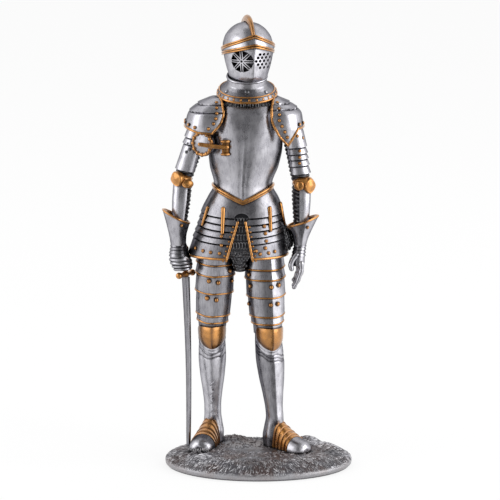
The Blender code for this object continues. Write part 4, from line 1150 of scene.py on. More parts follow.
WAIST_X, WAIST_HALF_W, WAIST_SIDE, WAIST_TIP = -3.9, 7.5, 70.3, 67.0
SKIRT_BOTTOM, SKIRT_WALL, SKIRT_LINES = 52.8, 1.1, (63.0, 61.3, 59.7, 58.1, 56.5)
SKIRT = [
    Row(72.0, -3.9, BODY_Y, 7.0, 6.5), Row(70.0, -3.9, BODY_Y, 7.4, 6.7), Row(67.5, -3.9, BODY_Y, 8.7, 7.3),
    Row(64.5, -4.1, BODY_Y, 9.9, 8.3), Row(60.4, -4.5, BODY_Y, 10.8, 9.1), Row(58.2, -4.8, BODY_Y, 11.3, 9.5),
    Row(SKIRT_BOTTOM, -5.3, BODY_Y, 12.4, 10.2),
]
CORE = [
    Row(65.6, -4.05, BODY_Y, 8.4, 6.8), Row(62.0, -4.35, BODY_Y, 9.3, 7.7),
    Row(58.0, -4.8, BODY_Y, 10.2, 8.4), Row(55.0, -5.1, BODY_Y, 10.8, 8.8),
    Row(53.4, -4.8, BODY_Y, 6.0, 7.6), Row(52.2, -4.7, BODY_Y, 2.6, 6.6),
    Row(48.8, -4.7, BODY_Y, 1.6, 4.4),
]
BELT = [
    Row(74, WAIST_X, BODY_Y, 7.5, 7.5, 2.3), Row(70, WAIST_X, BODY_Y, 7.6, 7.5, 2.3, 0.5),
    Row(62, WAIST_X, BODY_Y, 8.0, 7.6, 2.3, 0.5),
]
BELT_ROLLS = ((0.15, 0.0, 0.4), (-0.5, -0.1, 0.24), (-0.15, -0.25, 0.4))
KEYHOLE_X, KEYHOLE_Z, KEYHOLE_HALF_W, KEYHOLE_RISE, KEYHOLE_DROP = -4.25, 62.95, 1.85, 1.4, 0.8
SPLIT_RIGHT, SPLIT_LEFT = ((-5.2, 62.1), (-8.05, 52.6)), ((-3.3, 62.1), (-1.5, 52.6))
STRAPS = (
    ((-12.5, 65.0), (-13.8, 60.9)), ((-8.75, 65.3), (-8.95, 59.4)), ((2.6, 65.3), (2.85, 59.9)),
    ((5.2, 65.8), (6.4, 59.4)),
)
SKIRT_RIVETS = (
    (-15.6, 55.0), (-13.8, 54.7), (-11.9, 54.5), (-9.7, 54.4), (-9.2, 58.6), (-9.2, 56.4), (1.3, 61.0),
    (1.6, 59.2), (1.8, 57.3), (1.6, 55.6), (-0.7, 55.0), (0.3, 54.2), (2.4, 54.3), (3.9, 54.5),
)
SKIRT_RISE = 0.9
SKIRT_SHADE, HEM_SHADE, HEM_TOP = 0.52, 0.2, 57.5
HIP_SHADE_LUMP = [
    Row(60.6, 5.6, 6.6, 1.2, 2.4), Row(58.6, 6.4, 6.6, 1.9, 3.0), Row(55.6, 6.9, 6.7, 2.0, 3.2),
    Row(53.6, 6.4, 6.8, 1.2, 2.6),
]
MAIL_ROWS, MAIL_SEED = (62.2, 60.2, 58.2, 56.2), 3


def waist_height(x):
    return WAIST_TIP + (WAIST_SIDE - WAIST_TIP) * np.abs(x - WAIST_X) / WAIST_HALF_W


def make_mail_skirt():
    skin = Skin(CORE)
    clay = Clay()
    rows = np.linspace(48.8, 65.6, 50)
    clay.body(skin.surface(around(72), rows[:, None])[0])
    for i, z in enumerate(MAIL_ROWS):
        for x in np.arange(-8.4 + 0.36 * (i % 2), -1.0, 0.72):
            (point,), (facing,) = skin.spots([(x, z)], 0.12)
            clay.link(point, facing, 0.36, 0.82, mm("wire"))
    rng = np.random.default_rng(MAIL_SEED)
    for i, z in enumerate(np.arange(49.8, 54.8, 0.75)):
        half = 2.0 if z < 52.5 else 3.4
        for x in np.arange(-4.8 - half + 0.4 * (i % 2), -4.8 + half, 0.8) + rng.uniform(-0.2, 0.2):
            (point,), (facing,) = skin.spots([(x, z + rng.uniform(-0.2, 0.2))])
            clay.dome(point, facing, rng.uniform(0.26, 0.5), height=0.9)
    add_piece("mail_skirt", clay, "mail", "mail_skirt")


def keyhole_outline():
    outline = []
    for a in np.linspace(-0.95, math.pi + 0.95, 29):
        high = KEYHOLE_RISE if 0 < a < math.pi else KEYHOLE_DROP
        outline.append((KEYHOLE_HALF_W * math.cos(a), high * math.sin(a)))
    low = SKIRT_BOTTOM - 2 - KEYHOLE_Z
    left_foot = SPLIT_LEFT[1][0] - KEYHOLE_X + 0.35
    right_foot = SPLIT_RIGHT[1][0] - KEYHOLE_X - 0.35
    return outline + [(right_foot, low), (left_foot, low)]


def skirt_shade(z):
    """Painted shade on the skirt, most on its hem."""
    return SKIRT_SHADE + HEM_SHADE * ease((HEM_TOP - z) / 2.0)


def make_fauld():
    skin = Skin(SKIRT)
    angles = around(150)
    rows = heights(SKIRT_BOTTOM, SKIRT_LINES[0] + 0.3, 0.5, SKIRT_LINES)
    out = lames(rows, SKIRT_LINES, mm("step"), SKIRT_BOTTOM, SKIRT_LINES[0] + 4, groove=0.3)
    shares = np.linspace(0.08, 1, 12)
    high = waist_height(skin.at(angles, 68.0)[:, 0]) - 0.3
    rise = SKIRT_RISE * np.sin(angles) ** 2
    risen = rows[:, None] + rise * (ease((rows - 53.2) / 3) * ease((65 - rows) / 3))[:, None]
    upper = risen[-1] + shares[:, None] * (high - risen[-1])
    z = np.concatenate([risen, upper])
    out = np.concatenate([out, out[-1] * (1 - shares)])[:, None]
    clay = Clay()
    clay.plate(skin, angles, z, out, SKIRT_WALL, wrap=True, paint=skirt_shade(z))
    fauld = add_piece("fauld", clay, "pewter", "fauld", sharp=38)
    hole = Clay()
    across = np.array((1.0, 0, 0))
    hole.prism(keyhole_outline(), np.array((KEYHOLE_X, -3.0, KEYHOLE_Z)), across, UP, FRONT, 6.0)
    carve(fauld, hole, sharp=38)


def make_fauld_trim():
    """Gold hem, edges of the split, straps and rivets of the skirt."""
    skin = Skin(SKIRT)
    gold = Clay()
    step = mm("step")
    start, end = skin.angle_at(*SPLIT_LEFT[1]), skin.angle_at(*SPLIT_RIGHT[1]) + math.tau
    hem = np.linspace(start, end, 150)
    gold.bead(*skin.surface(hem, SKIRT_BOTTOM + 0.15, step), mm("rim"))
    for edge, way in ((SPLIT_RIGHT, -1), (SPLIT_LEFT, 1)):
        gold.bead(*skin.trace(edge, 40, step * 0.7), mm("rim") * (1 + 0.18 * np.sin(np.arange(40) * 1.6)))
        beside = [(x + way * 0.75, z) for x, z in edge]
        points, facing = skin.trace(beside, 9, step * 0.7)
        gold.domes(points[1:], facing[1:], 0.24)
    for strap in STRAPS:
        gold.bead(*skin.trace(strap, 24, step + 0.1), np.linspace(0.5, 0.4, 24), flat=0.8)
    gold.domes(*skin.spots(SKIRT_RIVETS, step), mm("rivet") * 0.9)
    add_piece("fauld_trim", gold, "gold_paint")


def make_hip_shade_lump():
    """Dark mail in the corner between the skirt and the left hand, put there as painted shade of that corner.
    """
    skin = Skin(HIP_SHADE_LUMP)
    clay = Clay()
    rows = np.linspace(53.6, 60.6, 24)
    clay.body(skin.surface(around(40), rows[:, None])[0])
    for z in np.arange(54.6, 59.6, 0.9):
        for angle in np.linspace(-1.1, 0.9, 5):
            clay.link(*skin.surface(angle, z + 0.2 * math.sin(angle * 5)), 0.4, 0.5, mm("wire"))
    add_piece("hip_web", clay, "mail")


def make_belt():
    skin = Skin(BELT)
    angles = around(150)
    level = waist_height(skin.at(angles, 68.0)[:, 0])
    clay = Clay()
    for lift, out, radius in BELT_ROLLS:
        clay.bead(*skin.surface(angles, level + lift, out), radius, closed=True, sides=10)
    add_piece("waist_belt", clay, "gold_paint", "waist_belt")


# Trunk, neck and head

TRUNK = [
    Row(65.0, -3.9, BODY_Y, 7.3, 7.2, 2.3, 0.5), Row(70.5, -3.9, BODY_Y, 7.3, 7.0, 2.3, 0.7),
    Row(75.5, -3.6, BODY_Y, 8.7, 7.4, 2.3, 0.8), Row(80.0, -3.3, BODY_Y, 9.3, 7.7, 2.3, 0.8),
    Row(84.5, -3.1, BODY_Y, 9.3, 7.5, 2.6, 0.6), Row(88.5, -3.0, BODY_Y, 8.4, 6.7, 2.9, 0.3),
    Row(92.0, -2.9, BODY_Y, 5.9, 5.0, 2.6), Row(94.5, -2.9, BODY_Y, 4.0, 4.0, 2.2),
]
NECK, GORGET_TILT = (-2.9, 6.3, 95.0), 15
GORGET = [
    Row(-1.7, 0, 0, 7.0, 6.8), Row(-1.3, 0, 0, 7.45, 7.2), Row(-0.8, 0, 0, 7.3, 7.05),
    Row(0.7, 0, 0, 5.6, 5.6), Row(1.5, 0, 0, 4.95, 5.1), Row(3.0, 0, 0, 5.0, 5.2),
]
# Painted shade: how much darker the breastplate, the neck plate and the comb are made
BREAST_SHADE, GORGET_SHADE, COMB_SHADE = 0.36, 0.4, 0.35
HEAD_X, HEAD_Y, HEAD_TURN = -2.7, 6.0, 12
HELMET = [
    Row(96.6, HEAD_X, HEAD_Y - 0.1, 4.3, 4.6, 2.1, 0.5), Row(98.6, HEAD_X, HEAD_Y - 0.4, 4.8, 5.9, 2.1, 1.1),
    Row(101.0, HEAD_X, HEAD_Y - 0.2, 5.5, 6.6, 2.1, 1.1), Row(103.5, HEAD_X, HEAD_Y, 6.0, 7.0, 2.1, 0.9),
    Row(105.5, HEAD_X, HEAD_Y, 6.2, 7.3, 2.1, 0.5), Row(107.5, HEAD_X, HEAD_Y, 5.8, 6.9, 2.1, 0.2),
    Row(109.4, HEAD_X, HEAD_Y, 4.6, 5.6, 2.1), Row(110.8, HEAD_X, HEAD_Y, 2.8, 3.6, 2.1),
    Row(111.4, HEAD_X, HEAD_Y, 1.0, 1.5, 2.1),
]
BROW_HIGH, BROW_LOW = (107.9, 2.9), (105.8, 2.0)
ROSETTE, ROSETTE_R = (-4.15, 102.1), 3.0
BREATHS, BREATHS_R, BREATH_R = (1.15, 102.2), 2.0, 0.37
VISOR_LOW = 96.75
COMB_Z, COMB_R = 104.6, 7.75


def make_trunk():
    skin = Skin(TRUNK)
    for name, start in (("breastplate", -QUARTER), ("backplate", QUARTER)):
        angles = np.linspace(start + 0.01, start + math.pi - 0.01, 91)
        low = waist_height(skin.at(angles, 69.0)[:, 0]) + 0.3
        z = low + np.linspace(0, 1, 60)[:, None] * (94.4 - low)
        middle = 0 if start < 0 else math.pi
        keel = (crease(angles, middle, 0.5, 0.3) + crease(angles, middle, 0.06, 0.12)) * ease((91 - z) / 6)
        apart = np.abs(angles - middle)
        # Painted shade: the plate darkens upwards from the waist, less along its middle ridge
        shade = BREAST_SHADE * ease((z - 69) / 8) * (1 - 0.6 * np.exp(-((apart / 0.12) ** 2)))
        clay = Clay()
        clay.plate(skin, angles, z, keel, 1.0, paint=shade)
        add_piece(name, clay, "pewter", name, sharp=34)


def make_neck_mail():
    skin = Skin(TRUNK)
    clay = Clay()
    for i, angle in enumerate(np.linspace(-1.15, 1.15, 27)):
        clay.link(*skin.surface(angle, 90.9 + 0.25 * (i % 2), 0.2), 0.34, 0.62, mm("wire") * 1.2)
    for angle in around(40):
        clay.link(*skin.surface(angle, 92.2, 0.3), 0.42, 0.6, mm("wire") * 1.3)
    add_piece("neck_mail", clay, "mail")


def gorget_skin():
    place = Matrix.Translation(NECK) @ Matrix.Rotation(math.radians(GORGET_TILT), 4, "X")
    return Skin(GORGET, place=place)


def make_gorget():
    skin = gorget_skin()
    angles = around(110)
    rows = np.concatenate([np.linspace(-1.7, 1.5, 30), np.linspace(1.6, 3.0, 12)])
    clay = Clay()
    # Painted shade on the flange of the neck plate, most at its front
    shade = ease((1.6 - rows) / 0.5)[:, None] * GORGET_SHADE * (1 + np.exp(-((angles / 0.8) ** 2)))
    clay.plate(skin, angles, rows[:, None] + 0 * angles, 0.0, 0.8, wrap=True, paint=shade)
    clay.domes(*skin.surface(np.array((-0.95, 0.85)), 0.25), 0.45)
    clay.bead(*skin.surface(angles, 2.95, -0.1), 0.3, closed=True)
    add_piece("gorget", clay, "pewter", "gorget", sharp=38)


def make_gorget_rim():
    skin = gorget_skin()
    angles = around(110)
    gold = Clay()
    for z, radius in ((-1.45, 0.32), (-0.3, 0.2)):
        gold.bead(*skin.surface(angles, z, 0.05), radius, closed=True)
    gold.domes(*skin.surface(around(26) + 0.06, -0.85, -0.05), 0.38, sides=4, height=0.6)
    add_piece("gorget_rim", gold, "gold_paint")


def make_gorget_hook():
    hook = Clay()
    hook.dome(*gorget_skin().surface(0.0, 0.75), 0.62, height=0.9)
    add_piece("gorget_hook", hook, "mail")


def brow(angle, line):
    """Height of a brow line, which drops from its peak at the front to the temples."""
    peak, drop = line
    return peak - drop * np.minimum(np.abs(angle) / QUARTER, 1.15)


def make_helmet_bowl():
    skin = Skin(HELMET, HEAD_TURN)
    angles = around(120)
    rows = np.linspace(96.7, 111.4, 80)[:, None] + 0 * angles
    band = ease((rows - brow(angles, BROW_LOW)) / 0.3) * ease((brow(angles, BROW_HIGH) - rows) / 0.3)
    front = np.abs(angles) < 1.45
    face = np.where(front & (rows < brow(angles, BROW_LOW)), -2.4, 0.0)
    clay = Clay()
    stand = (0.3 + crease(angles, 0, 0.7, 0.5)) * (np.abs(angles) < 1.75)
    clay.body(skin.surface(angles, rows, stand * band + face)[0])
    add_piece("helmet_bowl", clay, "pewter", "helmet_bowl", sharp=40)


def make_brow_lines():
    skin = Skin(HELMET, HEAD_TURN)
    gold = Clay()
    run = np.linspace(-1.78, 1.78, 90)
    for line in (BROW_HIGH, BROW_LOW):
        for lift in (-0.23, 0.23):
            gold.bead(*skin.surface(run, brow(run, line) + lift, 0.3 + crease(run, 0, 0.7, 0.55)), 0.25)
    add_piece("brow_lines", gold, "gold_paint")


def rosette(clay, skin):
    """Pierced work of the right cheek: wedges and narrow slots by turns round a small hole."""
    (centre,), (facing,) = skin.spots([ROSETTE])
    across = unit(np.cross(UP, -facing)) * 1.08
    up = np.cross(facing, unit(across)) * 0.93
    plane = (centre, across, up, facing, 1.6)
    clay.prism(circle(0.32, 10), *plane)
    for k in range(16):
        turn = math.tau * k / 16
        if k % 2:
            corners = ((-0.05, 1.15), (-0.29, ROSETTE_R), (0.29, ROSETTE_R), (0.05, 1.15))
        else:
            corners = ((-0.2, 0.62), (-0.075, 2.8), (0.075, 2.8), (0.2, 0.62))
        clay.prism([(r * math.cos(turn + a), r * math.sin(turn + a)) for a, r in corners], *plane)


def breaths(clay, skin):
    """Round breathing holes of the left cheek, in staggered rows."""
    x, z = BREATHS
    for row in range(-2, 3):
        for column in range(-3, 4):
            u, v = (column + 0.5 * (row % 2)) * 0.95, row * 0.82
            if math.hypot(u, v) > BREATHS_R:
                continue
            (point,), (facing,) = skin.spots([(x + u, z + v)])
            across = unit(np.cross(UP, -facing))
            hole = circle(BREATH_R, 10, stretch=1.25)
            clay.prism(hole, point, across, np.cross(facing, across), facing, 1.6)


def visor_skin():
    return Skin(HELMET, HEAD_TURN, keel=0.4, box=2.2)


def make_visor():
    skin = visor_skin()
    angles = np.linspace(-1.5, 1.5, 101)
    high = brow(angles, BROW_LOW) - 0.05
    z = VISOR_LOW + np.linspace(0, 1, 50)[:, None] * (high - VISOR_LOW)
    clay = Clay()
    clay.plate(skin, angles, z, 0.22, 0.8)
    visor = add_piece("visor", clay, "pewter", "visor", sharp=34)
    holes = Clay()
    rosette(holes, skin)
    breaths(holes, skin)
    carve(visor, holes, sharp=34)


def make_visor_shade_sheet():
    """A dark sheet behind the holes, put there as painted shade inside the helmet."""
    angles = np.linspace(-1.4, 1.4, 60)
    z = np.linspace(97, 104.5, 50)[:, None] + 0 * angles
    shade_sheet = Clay()
    shade_sheet.plate(visor_skin(), angles, z, -1.0, 0.4)
    add_piece("visor_lining", shade_sheet, "mail")


def make_comb():
    ahead, _ = turned(HEAD_TURN)
    bend = np.linspace(math.radians(23), math.radians(172), 70)
    facing = ahead * np.cos(bend)[:, None] + UP * np.sin(bend)[:, None]
    points = np.array((HEAD_X, HEAD_Y, COMB_Z)) + facing * COMB_R
    swell = np.interp(np.degrees(bend), (23, 60, 95, 140, 172), (0.42, 0.62, 0.9, 0.8, 0.5))
    clay = Clay()
    # Painted shade: the whole comb is a darker gold than the other gold
    clay.bead(points, facing, swell * 0.9, sides=16, under=0.0, paint=COMB_SHADE)
    clay.bead(points - facing * 0.5, facing, swell * 1.02, sides=14, under=0.0, paint=COMB_SHADE + 0.1)
    add_piece("helmet_comb", clay, "gold_paint", "helmet_comb")


# Shoulders and chest

SHOULDER = {
    "right": [
        Row(92.6, -9.7, BODY_Y, 2.6, 3.6, 2.4), Row(90.8, -10.7, BODY_Y, 5.0, 5.9, 2.4),
        Row(88.4, -11.8, BODY_Y, 6.0, 7.6, 2.4), Row(85.3, -12.3, BODY_Y, 6.15, 8.0, 2.4),
        Row(83.9, -12.5, BODY_Y, 5.9, 7.6, 2.4),
    ],
    "left": [
        Row(92.6, 3.0, BODY_Y, 2.2, 3.6, 2.4), Row(90.8, 4.0, BODY_Y, 4.6, 5.9, 2.4),
        Row(88.4, 5.1, BODY_Y, 5.75, 7.6, 2.4), Row(85.3, 5.4, BODY_Y, 5.8, 8.0, 2.4),
        Row(83.9, 5.6, BODY_Y, 5.6, 7.7, 2.4), Row(81.0, 6.2, BODY_Y, 5.0, 7.0, 2.4),
    ],
}
SHOULDER_TOP, SHOULDER_BACK_LOW = 92.5, 84.2
SHOULDER_STEP, STEPS_LOW, STEPS_HIGH = 0.2, 80.0, 92.8
SHOULDER_RIVET, RIVETS_TOP, RIVETS_INSET = 0.85, 91.6, 0.86
SHOULDER_LINES = {"right": (91.1, 89.3), "left": (91.3, 90.0)}
INNER_RIM = {
    "right": ((84.15, -11.6), (86.9, -9.35), (89.0, -8.75), (91.5, -9.1), (93.0, -9.75)),
    "left": ((81.1, 7.27), (84.2, 4.8), (88.1, 3.25), (90.5, 3.3), (92.3, 3.7)),
}
LOWER_RIM = {
    "right": ((-18.4, 85.5), (-15.0, 84.4), (-11.6, 84.15)),
    "left": ((7.27, 81.1), (9.7, 85.2), (11.4, 85.4)),
}
# Rivets along the inner rim, as a lift and a count, and along the lower rim, as columns of the plate
INNER_RIVETS = {"right": (1.3, 6), "left": (2.2, 7)}
LOWER_RIVETS = {"right": np.arange(12, 110, 14), "left": np.array((70, 84))}
BESAGEW, BESAGEW_TURN, BESAGEW_R, BESAGEW_SHADE = np.array((-13.6, 1.6, 81.4)), -35, 2.75, 0.4
LANCE_BAR = ((-7.9, -1.9, 80.9), (-9.5, -2.1, 80.95), (-12.0, -2.4, 81.3), (-14.6, -2.6, 81.7))


class ShoulderPlate:
    """A shoulder plate between its inner rims, front and back, and its lower edge."""

    def __init__(self, side):
        self.skin = Skin(SHOULDER[side])
        self.outer = OUTER[side] * QUARTER
        self.lines = SHOULDER_LINES[side]
        self.rim_z, self.rim_x = zip(*INNER_RIM[side])
        self.low_x, self.low_z = zip(*sorted(LOWER_RIM[side]))

    def rim_angle(self, z):
        """The angle of the front inner rim at each height."""
        z = np.asarray(z, float)
        places = through(self.rim_z, self.rim_x, z)
        return np.array([self.skin.angle_at(x, h) for x, h in zip(places.flat, z.flat)]).reshape(z.shape)

    def angle(self, share, z):
        """A share of one is the front rim, and minus one is the rim behind."""
        return self.outer + (self.rim_angle(z) - self.outer) * share

    def low(self, shares):
        """The height of the lower edge, found by a few trial steps."""
        z = np.full(len(shares), 85.0)
        for _ in range(12):
            x = self.skin.at(self.angle(np.abs(shares), z), z)[:, 0]
            z = (z + np.interp(x, self.low_x, self.low_z)) / 2
        return np.where(shares < 0, np.maximum(z, SHOULDER_BACK_LOW), z)

    def grid(self):
        """Angles and heights over the whole plate, in rows from its lower edge up."""
        shares = np.linspace(-1, 1, 121)
        low = self.low(shares)
        z = low + np.linspace(0, 1, 70)[:, None] * (SHOULDER_TOP - low)
        levels = np.linspace(80, 94, 141)
        rims = np.interp(z, levels, self.rim_angle(levels))
        return self.outer + (rims - self.outer) * shares, z

    def steps(self, z, groove=0.0):
        """How far the overlapping parts of the plate stand out."""
        return lames(z, self.lines, SHOULDER_STEP, STEPS_LOW, STEPS_HIGH, groove)


def make_shoulder(side):
    plate = ShoulderPlate(side)
    angles, z = plate.grid()
    outer, facing = plate.skin.surface(angles, z, plate.steps(z, groove=0.2))
    inner = outer - facing * 1.1
    top, middle = outer[-1], outer[-1].mean(0)
    shares = (0.75, 0.5, 0.25, 0.05)
    lid = np.array([middle + (top - middle) * share + UP * 0.4 * (1 - share) for share in shares])
    clay = Clay()
    clay.shell(np.concatenate([outer, lid]), np.concatenate([inner, lid - UP * 0.9]))
    add_piece(f"{side}_pauldron", clay, "pewter", f"{side}_pauldron", sharp=36)


def make_shoulder_rim(side):
    """Gold edge of a shoulder plate, with its rivets."""
    plate = ShoulderPlate(side)
    angles, z = plate.grid()
    edge = np.concatenate([z[::-1, 0], z[0, 1:-1], z[:, -1]])
    turn = np.concatenate([angles[::-1, 0], angles[0, 1:-1], angles[:, -1]])
    gold = Clay()
    gold.bead(*plate.skin.surface(turn, edge, plate.steps(edge)), mm("rim"))
    lift, count = INNER_RIVETS[side]
    rivet = mm("rivet") * SHOULDER_RIVET
    at = np.linspace(z[0, -1] + lift, RIVETS_TOP, count)
    for end in (-1, 1):
        inset = plate.angle(end * np.full(count, RIVETS_INSET), at)
        gold.domes(*plate.skin.surface(inset, at, 0.2), rivet)
    along = LOWER_RIVETS[side]
    gold.domes(*plate.skin.surface(angles[0, along], z[0, along] + 1.0, 0.3), rivet)
    add_piece(f"{side}_pauldron_rim", gold, "gold_paint")


def make_besagew():
    facing, _ = turned(BESAGEW_TURN)
    centre = BESAGEW + facing * 0.7
    disc = Clay()
    # Painted shade: the disc is a darker pewter than the other plates
    disc.leaf(centre, BESAGEW_TURN, BESAGEW_R, BESAGEW_R, 0.55, rim=0.1, depth=1.6, paint=BESAGEW_SHADE)
    add_piece("right_besagew", disc, "pewter", "right_besagew")


def make_besagew_rim():
    facing, across = turned(BESAGEW_TURN)
    gold = Clay()
    bend = around(60)
    ring = across * np.cos(bend)[:, None] + UP * np.sin(bend)[:, None]
    gold.bead(BESAGEW + facing * 0.65 + ring * BESAGEW_R, facing, 0.46, closed=True)
    for way in ring[::5]:
        gold.dome(BESAGEW + facing * 1.0 + way * BESAGEW_R, facing, 0.44)
    add_piece("besagew_rim", gold, "gold_paint")


def make_lance_rest():
    clay = Clay()
    # Painted shade on the underside of the bar, lighter than on other mouldings
    clay.bead(curve(LANCE_BAR, 30), FRONT, np.linspace(0.62, 0.52, 30), under=0.4)
    clay.leaf((-8.25, -1.55, 80.7), 5, 0.85, 1.95, 0.15, power=4.0, rim=0.22, depth=0.9)
    for z in (79.1, 82.3):
        clay.bead(curve(((-9.1, -1.8, z), (-8.25, -2.0, z), (-7.45, -1.7, z)), 14), FRONT, 0.36)
    add_piece("lance_rest", clay, "gold_paint", "lance_rest")


def make_lance_rest_plate():
    back = Clay()
    back.leaf((-7.75, -0.95, 80.8), 12, 1.1, 2.25, 0.12, power=5.0, depth=1.4)
    add_piece("lance_rest_plate", back, "pewter")


# Arms

UPPER_ARM = (
    (0.0, 2.1, 2.3, 0), (0.1, 2.6, 2.9, 0), (0.35, 2.7, 3.0, 0), (0.7, 2.6, 2.8, 0), (1.0, 2.4, 2.5, 0),
)
FOREARM = ((0.0, 2.4, 2.5, 0), (0.3, 2.35, 2.5, 0), (0.7, 1.95, 2.1, 0), (1.0, 1.5, 1.7, 0))
ARM_LINES = {"right": (82.2, 80.6), "left": (80.0, 78.4, 77.0, 75.4)}
ARM_STEP, ARM_TILT = 0.34, {"right": 0.45, "left": 0.18}
RIVET_SLOTS = {"right": "mail", "left": "gold_paint"}
WRIST_LOW, VAMBRACE_LOW, VAMBRACE_START = 57.45, 58.0, {"right": -0.5, "left": -0.15}
ARM_RIVETS = {
    "right": ((-16.6, 81.6), (-17.6, 81.0), (-17.2, 79.7), (-18.0, 79.0), (-16.0, 79.2)),
    "left": ((10.2, 79.3), (10.2, 77.7), (10.2, 76.2), (9.6, 83.0), (10.9, 82.4)),
}
ELBOW_R = 2.75
# Each lobe has a middle, a turn, a half width and height, a lean and a squareness
ELBOW_LOBES = {
    "right": (((-20.6, 2.9, 72.3), -42, 1.75, 1.95, 20, 1.7), ((-17.75, 2.6, 71.1), 12, 1.5, 1.1, -4, 2.0)),
    "left": (((10.1, 2.6, 70.6), -18, 1.25, 1.2, 0, 2.0), ((12.9, 3.4, 70.5), 38, 1.75, 2.0, 0, 1.5)),
}
CUFF_TURN = 12
CUFFS = {
    "right": (Row(62.7, -20.7, 3.9, 3.4, 3.1, 2.2, 0, -0.5), Row(60.4, -20.5, 3.9, 2.75, 2.7, 2.2, 0, -0.3),
              Row(57.6, -20.3, 3.8, 2.1, 2.2), Row(55.6, -20.2, 3.7, 1.9, 2.1)),
    "left": (Row(61.4, 11.1, 4.1, 4.0, 3.2, 2.2, 0, 0.34), Row(59.4, 10.8, 4.1, 2.85, 2.8, 2.2, 0, 0.2),
             Row(57.4, 10.5, 4.0, 1.95, 2.2), Row(55.6, 10.4, 3.9, 1.5, 1.95)),
}
FIST = [
    Row(56.6, -20.1, 3.7, 1.6, 1.7), Row(55.5, -20.1, 3.7, 1.85, 1.95), Row(53.6, -20.1, 3.5, 2.2, 2.4),
    Row(51.0, -19.5, 4.2, 2.5, 2.8), Row(49.1, -19.1, 4.4, 2.0, 2.3),
]
PALM = [
    Row(56.4, 10.4, 3.9, 1.3, 1.7), Row(55.5, 10.4, 3.9, 1.4, 1.85), Row(53.4, 10.1, 3.7, 1.55, 2.1),
    Row(51.2, 10.0, 3.6, 1.6, 2.2), Row(50.2, 10.0, 3.6, 1.2, 1.9),
]
HAND_LINES, HAND_STEP = (55.1, 54.3, 53.5, 52.7), 0.26
KNUCKLES = (52.1, 51.2, 50.3, 49.5)
FIST_THUMB = ((-19.4, 1.9, 53.0), (-18.3, 2.0, 52.3), (-17.5, 3.2, 51.4))
# Painted shade on the two sides of each cuff and hand, right and left
CUFF_SHADE = {"right": (0.2, 0.75), "left": (0.75, 0.2)}
HAND_SHADE = {"right": (0.4, 0.85), "left": (0.65, 0.2)}
FINGERS = (
    ((10.7, 1.9, 51.0), (10.8, 1.8, 49.8), (10.1, 1.9, 47.2), (9.0, 2.2, 44.9)),
    ((10.7, 3.0, 51.0), (10.7, 2.9, 49.3), (10.0, 3.0, 46.8), (8.9, 3.2, 44.7)),
    ((10.5, 4.2, 51.0), (10.4, 4.1, 49.2), (9.8, 4.1, 47.0), (8.8, 4.2, 45.1)),
    ((10.2, 5.2, 51.2), (10.1, 5.1, 49.6), (9.6, 5.0, 47.8), (8.8, 4.9, 46.3)),
)
THUMB = ((9.6, 2.2, 53.2), (8.5, 1.7, 51.8), (8.1, 1.5, 50.6), (8.3, 1.5, 49.7))


def sleeve(clay, rows):
    """Dark mail that bunches in small folds."""
    skin = Skin([row._replace(half_w=row.half_w - 0.35, half_d=row.half_d - 0.35) for row in rows])
    low, high = skin.knots[0], skin.knots[-1]
    angles = around(48)
    z = np.linspace(low, high, int((high - low) / 0.16))[:, None] + 0.12 * np.sin(3 * angles)
    folds = 0.30 * np.abs(np.sin(z * math.pi / 1.05)) + 0.08 * np.sin(z * 7 + 5 * angles)
    clay.body(skin.surface(angles, np.clip(z, low, high), folds)[0])


def upper_arm_rows(arm):
    return limb(UPPER_ARM, arm.shoulder, arm.elbow)


def make_arm_mail(side, arm):
    clay = Clay()
    sleeve(clay, upper_arm_rows(arm))
    add_piece(f"{side}_arm_mail", clay, "mail")


def make_rerebrace(side, arm):
    lines = ARM_LINES[side]
    low, high = arm.elbow[2] + 2.2, arm.shoulder[2]
    angles = np.sort(np.linspace(-0.75, 3.5, 60) * OUTER[side])
    z = heights(low, high - 1.5, 0.35, lines)
    out = 0.05 + lames(z, lines, ARM_STEP, low, high, groove=0.25)
    tilt = OUTER[side] * ARM_TILT[side] * np.sin(angles)
    clay = Clay()
    clay.plate(Skin(upper_arm_rows(arm)), angles, z[:, None] + tilt, out[:, None], 0.7)
    add_piece(f"{side}_rerebrace", clay, "pewter", f"{side}_rerebrace", sharp=36)


def make_arm_rivets(side, arm):
    rivets = Clay()
    rivets.domes(*Skin(upper_arm_rows(arm)).spots(ARM_RIVETS[side], 0.25), 0.34)
    add_piece(f"{side}_arm_rivets", rivets, RIVET_SLOTS[side])


def make_elbow(side, arm):
    x, y, z = arm.elbow
    middle = (x + 0.5 * OUTER[side], y - 0.7)
    rows = []
    for tilt in np.linspace(-1.2, 1.2, 14):
        half = ELBOW_R * math.cos(tilt)
        rows.append(Row(z + 1.7 * math.sin(tilt), *middle, half, half))
    clay = Clay()
    clay.body(Skin(rows).surface(around(40), np.array([row.z for row in rows])[:, None])[0])
    for centre, turn, half_w, half_h, lean, power in ELBOW_LOBES[side]:
        clay.leaf(centre, turn, half_w, half_h, 0.55, power=power, lean=lean, rim=0.18, depth=1.2)
    add_piece(f"{side}_couter", clay, "gold_paint", f"{side}_couter")


def forearm_rows(arm):
    top = (arm.elbow[0], arm.elbow[1], arm.elbow[2] - 0.3)
    return limb(FOREARM, top, (*arm.wrist[:2], WRIST_LOW))


def make_wrist_mail(side, arm):
    clay = Clay()
    sleeve(clay, forearm_rows(arm))
    add_piece(f"{side}_wrist_mail", clay, "mail")


def make_vambrace(side, arm):
    rows = forearm_rows(arm)
    angles = np.sort(np.linspace(VAMBRACE_START[side], 3.6, 60) * OUTER[side])
    z = np.linspace(VAMBRACE_LOW, rows[0].z - 0.4, 40)
    fold = crease(angles, 0.9 * OUTER[side], 0.8, 0.12)
    clay = Clay()
    clay.plate(Skin(rows), angles, z[:, None] + 0 * angles, 0.05 + fold, 0.6)
    add_piece(f"{side}_vambrace", clay, "pewter", f"{side}_vambrace", sharp=36)


